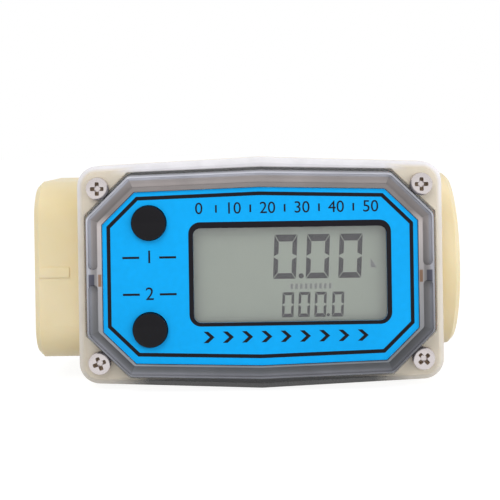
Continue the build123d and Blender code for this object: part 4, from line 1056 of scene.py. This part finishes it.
def screw_mesh(size):
    """A pan-head screw top in its own frame, outwards along z, with a tapered cross recess."""
    rings, spokes = 30, 96
    wall = 0.1 * MM
    head = bmesh.new()
    rows = []
    for i in range(rings + 1):
        share = i / rings
        row = []
        for j in range(spokes):
            turn = 2 * math.pi * j / spokes
            x, y = size.head_radius * share * math.cos(turn), size.head_radius * share * math.sin(turn)
            dome = size.head_height * (0.6 + 0.4 * math.sqrt(max(0.0, 1 - share ** 7)))
            narrow, long_way = min(abs(x), abs(y)), max(abs(x), abs(y))
            slot = min(1.0, max(0.0, (size.recess_half_slot + wall - narrow) / (2 * wall)))
            end = min(1.0, max(0.0, (size.recess_reach + wall - long_way) / (3 * wall)))
            core = min(1.0, max(0.0, (size.recess_half_slot * 1.9 + wall - math.hypot(x, y)) / (2 * wall)))
            row.append(head.verts.new((x, y, dome - max(slot * end, core) * size.recess_depth)))
        rows.append(row)
    skirt = [head.verts.new((v.co.x, v.co.y, 0.0)) for v in rows[-1]]
    for inner, outer in zip(rows, rows[1:] + [skirt]):
        for j in range(spokes):
            k = (j + 1) % spokes
            head.faces.new((inner[j], outer[j], outer[k], inner[k]))
    head.faces.new(list(reversed(skirt)))
    bmesh.ops.remove_doubles(head, verts=head.verts, dist=0.002 * MM)
    bmesh.ops.recalc_face_normals(head, faces=head.faces)
    # Faces deep in the wings of the recess take the second material, painted shade
    for face in head.faces:
        spot = face.calc_center_median()
        narrow, long_way = sorted((abs(spot.x), abs(spot.y)))
        in_wing = narrow < size.recess_half_slot + wall / 2 and long_way < size.recess_reach + wall
        face.material_index = 1 if in_wing and long_way > size.recess_half_slot * 1.9 else 0
    mesh = bpy.data.meshes.new("screw_head")
    head.to_mesh(mesh)
    head.free()
    return mesh


def screw_tree():
    """Geometry Nodes: the four screws on the corners of a rectangle, each with its own turn."""
    turns = [(f"Turn {i + 1}", "NodeSocketFloat", 0.0) for i in range(4)]
    tree, entry, leave = geometry_tree("cover_screw_heads", (
        ("Screw", "NodeSocketObject", None), ("Spacing X", "NodeSocketFloat", 0.078),
        ("Spacing Z", "NodeSocketFloat", 0.042), ("Start", "NodeSocketVector", None), *turns,
        ("Finish", "NodeSocketMaterial", None), ("Recess", "NodeSocketMaterial", None)))
    corners = add_node(tree, "GeometryNodeMeshGrid",
                       {"Size X": entry.outputs["Spacing X"], "Size Y": entry.outputs["Spacing Z"],
                        "Vertices X": 2, "Vertices Y": 2})
    which = add_node(tree, "GeometryNodeInputIndex")
    turn = add_node(tree, "GeometryNodeIndexSwitch", data_type="FLOAT")
    for _ in range(2):
        turn.index_switch_items.new()
    tree.links.new(which.outputs["Index"], turn.inputs["Index"])
    for i in range(4):
        tree.links.new(entry.outputs[f"Turn {i + 1}"], turn.inputs[i + 1])
    spin = add_node(tree, "ShaderNodeCombineXYZ", {"Z": turn.outputs["Output"]})
    screw = add_node(tree, "GeometryNodeObjectInfo", {"Object": entry.outputs["Screw"]})
    copies = add_node(tree, "GeometryNodeInstanceOnPoints",
                      {"Points": corners.outputs["Mesh"], "Instance": screw.outputs["Geometry"],
                       "Rotation": spin.outputs["Vector"]})
    placed = add_node(tree, "GeometryNodeTransform",
                      {"Geometry": copies.outputs["Instances"], "Translation": entry.outputs["Start"],
                       "Rotation": (math.radians(90), 0.0, 0.0)})
    real = add_node(tree, "GeometryNodeRealizeInstances", {"Geometry": placed.outputs["Geometry"]})
    number = add_node(tree, "GeometryNodeInputMaterialIndex")
    chosen = [add_node(tree, "FunctionNodeCompare", {2: number.outputs["Material Index"], 3: i},
                       data_type="INT", operation="EQUAL") for i in range(2)]
    finished = add_node(tree, "GeometryNodeSetMaterial", {"Geometry": real.outputs["Geometry"],
                                                          "Selection": chosen[0].outputs["Result"],
                                                          "Material": entry.outputs["Finish"]})
    recess_shade = add_node(tree, "GeometryNodeSetMaterial", {"Geometry": finished.outputs["Geometry"],
                                                        "Selection": chosen[1].outputs["Result"],
                                                        "Material": entry.outputs["Recess"]})
    tree.links.new(recess_shade.outputs["Geometry"], leave.inputs["Geometry"])
    return tree


class MakeScrews(bpy.types.Operator):
    """Make the four cross-head screws of the cover, with their shanks"""
    bl_idname = "flow_meter.make_screws"
    bl_label = "Cover screws"

    def execute(self, context):
        size = sizes()
        steel = bright_metal("zinc_plated_steel", colours().zinc, 0.18, 0.4)
        # Painted shade for the wings of the recess
        recess_shade = moulded_plastic("recess_painted_shade", colours().recess_shade, 0.5, grain_mm=0.3, grain_strength=0.3)
        pattern = piece_from("screw_pattern", screw_mesh(size), steel, recess_shade)
        spacing_x = SCREWS_HIGH.x - SCREWS_LOW.x - 2 * size.head_radius
        spacing_z = SCREWS_HIGH.z - SCREWS_LOW.z - 2 * size.head_radius
        start = (FACE_X, SCREWS_LOW.y + size.head_height, FACE_Z)
        turns = {f"Turn {i + 1}": math.radians(degrees) for i, degrees in enumerate(SCREW_TURNS)}
        heads = grown("screw_heads", screw_tree(),
                      {"Screw": pattern, "Spacing X": spacing_x, "Spacing Z": spacing_z, "Start": start,
                       "Finish": steel, "Recess": recess_shade, **turns}, steel, recess_shade)
        bpy.data.objects.remove(pattern)
        shank_radius = 1.5 * MM
        shanks = bpy.data.meshes.new("screw_shanks")
        rods = bmesh.new()
        depth = SCREWS_HIGH.y - start[1]
        for sx in (-0.5, 0.5):
            for sz in (-0.5, 0.5):
                middle = Vector((FACE_X + sx * spacing_x, (start[1] + SCREWS_HIGH.y) / 2,
                                 FACE_Z + sz * spacing_z))
                turn = Matrix.Rotation(math.radians(90), 4, "X")
                bmesh.ops.create_cone(rods, cap_ends=True, segments=24, radius1=shank_radius,
                                      radius2=shank_radius, depth=depth,
                                      matrix=Matrix.Translation(middle) @ turn)
        rods.to_mesh(shanks)
        rods.free()
        screws = piece_from("cover_screw_set", joined([heads.data, shanks]), steel, recess_shade)
        bpy.data.objects.remove(heads)
        shaded(screws, 40)
        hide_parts("cover_screws")
        fitted(screws, "root")
        return {"FINISHED"}


class PrintLabel(bpy.types.Operator):
    """Finish the label and print its border, window frame, scale, flow arrows and plain numbers"""
    bl_idname = "flow_meter.print_label"
    bl_label = "Label and print"

    def execute(self, context):
        size = sizes()
        sheet = bmesh.new()
        sheet.from_mesh(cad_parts["face_label"].data)
        bmesh.ops.remove_doubles(sheet, verts=sheet.verts, dist=0.001 * MM)
        lower_recess(sheet, size.recess_inset)
        film = bpy.data.meshes.new("label_film")
        sheet.to_mesh(film)
        sheet.free()
        label = piece_from("blue_label", film, printed_film())
        shaded(label, 28)
        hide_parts("face_label")
        fitted(label, "root")
        ink = moulded_plastic("black_ink", colours().ink, 0.45, grain_mm=0.8, grain_strength=0.05,
                              specular=0.12)
        proud = size.ink_height
        marks = []
        line = [bezel_outline(-size.border_inset - width) for width in (0.0, size.border_width)]
        marks.append(piece_from("label_border", ring(*line, proud, on_face(0, 0, LABEL_Y)), ink))
        half_w, half_h = size.window_width / 2, size.window_height / 2
        outer = rounded_box(-half_w - size.window_print_side, half_w + size.window_print_side,
                            -half_h - size.window_print_base, half_h + size.window_print_top,
                            size.window_corner + 1.0 * MM)
        inner = rounded_box(-half_w, half_w, -half_h, half_h, size.window_corner)
        window = ring(outer, inner, proud, on_face(size.window_x, 0, LABEL_Y))
        marks.append(piece_from("window_border", window, ink))
        # A plain scale over the window
        pitch = 8.2 * MM
        scale_x = 6.0 * MM
        scale_z = 15.9 * MM
        numbers = [number_mesh(str(10 * i), size.number_height * 0.9, proud,
                               on_face(scale_x + (i - 2.5) * pitch, scale_z, LABEL_Y))
                   for i in range(6)]
        marks.append(piece_from("scale_numbers", joined(numbers), ink))
        tick = box(-0.2 * MM, 0.2 * MM, -0.9 * MM, 0.9 * MM)
        marks.append(row_of("scale_ticks", [tick], proud, 5, pitch, scale_x, scale_z, LABEL_Y, ink))
        # Arrows along the flow under the window
        arrow = [(-1.3 * MM, -1.35 * MM), (-0.2 * MM, -1.35 * MM), (1.3 * MM, 0.0), (-0.2 * MM, 1.35 * MM),
                 (-1.3 * MM, 1.35 * MM), (0.2 * MM, 0.0)]
        marks.append(row_of("flow_arrows", [arrow], proud, 9, 4.6 * MM, 5.9 * MM, -14.75 * MM, LABEL_Y, ink))
        # Plain numbers beside the buttons
        for name, text, z in (("display_number", "1", 4.5 * MM), ("calibrate_number", "2", -4.3 * MM)):
            number = number_mesh(text, size.number_height, proud, on_face(size.key_x, z, LABEL_Y))
            bars = slab([box(hand * 2.4 * MM, hand * 6.4 * MM, -0.25 * MM, 0.25 * MM) for hand in (-1, 1)],
                        proud, on_face(size.key_x, z, LABEL_Y))
            marks.append(piece_from(name, joined([number, bars]), ink))
        for mark in marks:
            fitted(mark, "root")
        return {"FINISHED"}


class MakeDisplay(bpy.types.Operator):
    """Finish the display glass and set its plain noughts, points and bar row"""
    bl_idname = "flow_meter.make_display"
    bl_label = "Display"

    def execute(self, context):
        size = sizes()
        dress("display_glass", display_polariser())
        dark = moulded_plastic("liquid_crystal", colours().segment, 0.4, grain_mm=2.0, grain_strength=0.02,
                               specular=0.1)
        thin = 0.02 * MM
        # Thicknesses of the top, side and base bars of the upper and the lower noughts
        total_bars = (1.65 * MM, 1.1 * MM, 1.35 * MM)
        rate_bars = (0.7 * MM, 0.62 * MM, 0.85 * MM)
        figures = []
        for i in range(3):
            figures += nought(size.total_first_x + i * size.total_digit_pitch, size.total_z,
                              size.total_digit_width, size.total_digit_height, total_bars)
        figures.append(disc(size.total_first_x + size.total_digit_pitch * 0.48,
                            size.total_z - size.total_digit_height / 2 + 0.65 * MM, 0.62 * MM))
        for i in range(4):
            shift = 0.3 * MM if i == 3 else 0.0
            figures += nought(size.rate_first_x + i * size.rate_digit_pitch + shift, size.rate_z,
                              size.rate_digit_width, size.rate_digit_height, rate_bars)
        figures.append(disc(size.rate_first_x + size.rate_digit_pitch * 2.47,
                            size.rate_z - size.rate_digit_height / 2 + 0.45 * MM, 0.38 * MM))
        lit = piece_from("display_figures", slab(figures, thin, on_face(0, 0, GLASS_Y)), dark)
        bar = [(-0.24 * MM, -0.62 * MM), (0.3 * MM, -0.62 * MM), (0.36 * MM, 0.62 * MM),
               (-0.18 * MM, 0.62 * MM)]
        faint = moulded_plastic("faint_liquid_crystal", srgb("6F6E70"), 0.4, grain_mm=2.0,
                                grain_strength=0.02)
        row = row_of("display_bar_row", [bar], thin, 9, 1.15 * MM, 12.0 * MM, -3.1 * MM, GLASS_Y, faint)
        unit = piece_from("display_unit_mark",
                          slab([[(-0.6 * MM, -1.1 * MM), (0.75 * MM, -1.1 * MM), (-0.6 * MM, 1.1 * MM)]],
                               thin, on_face(27.1 * MM, 2.3 * MM, GLASS_Y)), faint)
        edge = moulded_plastic("glass_edge", srgb("8C9288"), 0.4, grain_mm=2.0, grain_strength=0.02)
        lines = [box(-14.8 * MM, 29.5 * MM, low, high)
                 for low, high in ((-10.45 * MM, -10.2 * MM), (9.3 * MM, 9.45 * MM))]
        rim = piece_from("display_glass_rim", slab(lines, thin / 2, on_face(0, 0, GLASS_Y)), edge)
        for part in (lit, row, unit, rim):
            fitted(part, "root")
        return {"FINISHED"}


class FinishButtons(bpy.types.Operator):
    """Give the two buttons and their rings their finish"""
    bl_idname = "flow_meter.finish_buttons"
    bl_label = "Buttons"

    def execute(self, context):
        gloss = moulded_plastic("gloss_abs", colours().button, 0.1, ior=1.54, grain_mm=3.0,
                                grain_strength=0.03, specular=0.12)
        for node in ("display_button", "calibrate_button"):
            dress(node, gloss)
            dress(node + "_ring", nitrile_rubber())
        return {"FINISHED"}


class FinishElectronics(bpy.types.Operator):
    """Give the board, the coil, the tray and the cells their finishes"""
    bl_idname = "flow_meter.finish_electronics"
    bl_label = "Electronics"

    def execute(self, context):
        tone = colours()
        black = moulded_plastic("black_abs", tone.black_plastic, 0.5)
        steel = bright_metal("zinc_plated_steel", tone.zinc, 0.18, 0.4)
        nickel = bright_metal("nickel_plate", srgb("D8D4C8"), 0.15, 0.3)
        finishes = {
            "display_frame": black, "battery_tray": black, "coil_bobbin": black, "tact_switches": black,
            "display_reflector": moulded_plastic("reflector_film", tone.polariser, 0.5),
            "contact_strips": moulded_plastic("silicone_rubber", srgb("C98A90"), 0.6),
            "circuit_board": moulded_plastic("phenolic_board", tone.laminate, 0.45, grain_mm=0.6),
            "controller_chip": moulded_plastic("moulded_epoxy", srgb("1C1C1F"), 0.55, grain_mm=0.2),
            "clock_crystal": nickel, "contact_plates": nickel, "contact_springs": nickel,
            "board_screws": steel, "tray_screws": steel,
            "coil_core": bright_metal("soft_iron", srgb("6B6763"), 0.35, 0.55),
            "coil_winding": copper_winding(),
        }
        for node, material in finishes.items():
            dress(node, material)
        for node, flip in (("battery_upper", True), ("battery_lower", False)):
            low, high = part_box(node)
            dress(node, cell_sleeve(node + "_sleeve", low.x, high.x, flip))
        return {"FINISHED"}


class FinishTurbine(bpy.types.Operator):
    """Give the rotor, its shaft and bushes, the guides and the snap rings their finishes"""
    bl_idname = "flow_meter.finish_turbine"
    bl_label = "Turbine"

    def execute(self, context):
        acetal = moulded_plastic("natural_acetal", colours().acetal, 0.35, ior=1.48, subsurface=0.15)
        ceramic = moulded_plastic("ground_ceramic", srgb("DAD6CC"), 0.25, ior=1.7, grain_mm=0.1)
        spring = bright_metal("oiled_spring_steel", srgb("9A9A9C"), 0.25, 0.45)
        finishes = {
            "rotor": acetal, "inlet_guide": acetal, "outlet_guide": acetal,
            "rotor_bushes": ceramic, "thrust_washers": ceramic,
            "rotor_shaft": bright_metal("ground_steel", srgb("C4C4C6"), 0.12, 0.25),
            "rotor_magnets": bright_metal("ground_ferrite", srgb("55555A"), 0.4, 0.6),
            "inlet_snap_ring": spring, "outlet_snap_ring": spring,
        }
        for node, material in finishes.items():
            dress(node, material)
        return {"FINISHED"}


class SetStage(bpy.types.Operator):
    """Set the floor, the soft lights, the world and the camera"""
    bl_idname = "flow_meter.set_stage"
    bl_label = "Stage"

    def execute(self, context):
        scene = context.scene
        scene.view_settings.view_transform = "Standard"
        lowest = CAD_BOX[0][2] - 0.05 * MM
        floor_mesh = bpy.data.meshes.new("studio_floor")
        half = 3.0
        floor_mesh.from_pydata([(-half, -half, lowest), (half, -half, lowest), (half, half, lowest),
                                (-half, half, lowest)], [], [(0, 1, 2, 3)])
        piece_from("studio_floor", floor_mesh, studio_floor())
        world = bpy.data.worlds.new("studio")
        scene.world = world
        world.use_nodes = True
        tree = world.node_tree
        tree.nodes.clear()
        strength = add_node(tree, "ShaderNodeMapRange", {"Value": shown_ray(tree), "To Min": 0.6,
                                                         "To Max": 1.0})
        sky = add_node(tree, "ShaderNodeBackground", {"Color": (1.0, 1.0, 1.0, 1.0),
                                                      "Strength": strength.outputs["Result"]})
        add_node(tree, "ShaderNodeOutputWorld", {"Surface": sky.outputs["Background"]})
        centre = Vector((FACE_X, CREST_Y, FACE_Z))
        for name, offset, size_m, power in (("key_light", (-0.25, -0.55, 0.6), 0.5, 2.9),
                                            ("fill_light", (0.5, -0.6, 0.05), 0.6, 2.0),
                                            ("side_light", (0.6, -0.15, 0.1), 0.4, 1.0)):
            data = bpy.data.lights.new(name, "AREA")
            data.shape = "SQUARE"
            data.size = size_m
            data.energy = power
            lamp = bpy.data.objects.new(name, data)
            lamp.visible_glossy = False
            lamp.location = centre + Vector(offset)
            lamp.rotation_mode = "QUATERNION"
            lamp.rotation_quaternion = (-Vector(offset)).to_track_quat("-Z", "Y")
            scene.collection.objects.link(lamp)
        # The lens looks straight at the face from a little above it, turned by a slight roll. The middle of
        # the face at the height of the screw heads falls on this pixel of a picture 500 pixels wide.
        picture, middle_px, scale = 500.0, (260.5, 274.0), 4.166 / MM
        distance, rise, roll = 280.0 * MM, math.radians(6.8), math.radians(-0.89)
        middle = Vector((FACE_X, SCREWS_LOW.y, FACE_Z))
        camera_data = bpy.data.cameras.new("camera")
        camera_data.sensor_width = 36.0
        camera_data.lens = scale * distance / picture * camera_data.sensor_width
        camera_data.clip_start = 0.01
        camera_data.clip_end = 20.0
        camera = bpy.data.objects.new("camera", camera_data)
        camera.location = middle + Vector((0.0, -distance, distance * math.tan(rise)))
        camera.rotation_mode = "QUATERNION"
        turn = Matrix.Rotation(math.radians(90), 3, "X") @ Matrix.Rotation(roll, 3, "Z")
        camera.rotation_quaternion = turn.to_quaternion()
        seen = turn.inverted() @ (middle - camera.location)
        camera_data.shift_x = (picture / 2 + scale * seen.x - middle_px[0]) / picture
        camera_data.shift_y = (middle_px[1] - picture / 2 + scale * seen.y) / picture
        scene.collection.objects.link(camera)
        scene.camera = camera
        return {"FINISHED"}


class FlowMeterPanel(bpy.types.Panel):
    """Lists the steps that dress the flow meter"""
    bl_idname = "VIEW3D_PT_flow_meter"
    bl_label = "Flow Meter"
    bl_space_type = "VIEW_3D"
    bl_region_type = "UI"
    bl_category = "Flow Meter"

    def draw(self, context):
        for step in STEPS:
            self.layout.operator(step.bl_idname)
        for group in (context.scene.flow_meter_sizes, context.scene.flow_meter_colours):
            for name in group.bl_rna.properties.keys():
                if name not in ("rna_type", "name"):
                    self.layout.prop(group, name)


STEPS = (SetStage, FinishBody, MakeThreads, MakeCover, MakeScrews, PrintLabel, MakeDisplay, FinishButtons,
         FinishElectronics, FinishTurbine)
CLASSES = (FlowMeterSizes, FlowMeterColours, *STEPS, FlowMeterPanel)


def register():
    for item in CLASSES:
        bpy.utils.register_class(item)
    bpy.types.Scene.flow_meter_sizes = PointerProperty(type=FlowMeterSizes)
    bpy.types.Scene.flow_meter_colours = PointerProperty(type=FlowMeterColours)


def unregister():
    del bpy.types.Scene.flow_meter_colours
    del bpy.types.Scene.flow_meter_sizes
    for item in reversed(CLASSES):
        bpy.utils.unregister_class(item)


def main():
    register()
    bpy.ops.flow_meter.set_stage()
    bpy.ops.flow_meter.finish_body()
    bpy.ops.flow_meter.make_threads()
    bpy.ops.flow_meter.make_cover()
    bpy.ops.flow_meter.make_screws()
    bpy.ops.flow_meter.print_label()
    bpy.ops.flow_meter.make_display()
    bpy.ops.flow_meter.finish_buttons()
    bpy.ops.flow_meter.finish_electronics()
    bpy.ops.flow_meter.finish_turbine()


if __name__ == "__main__":
    main()
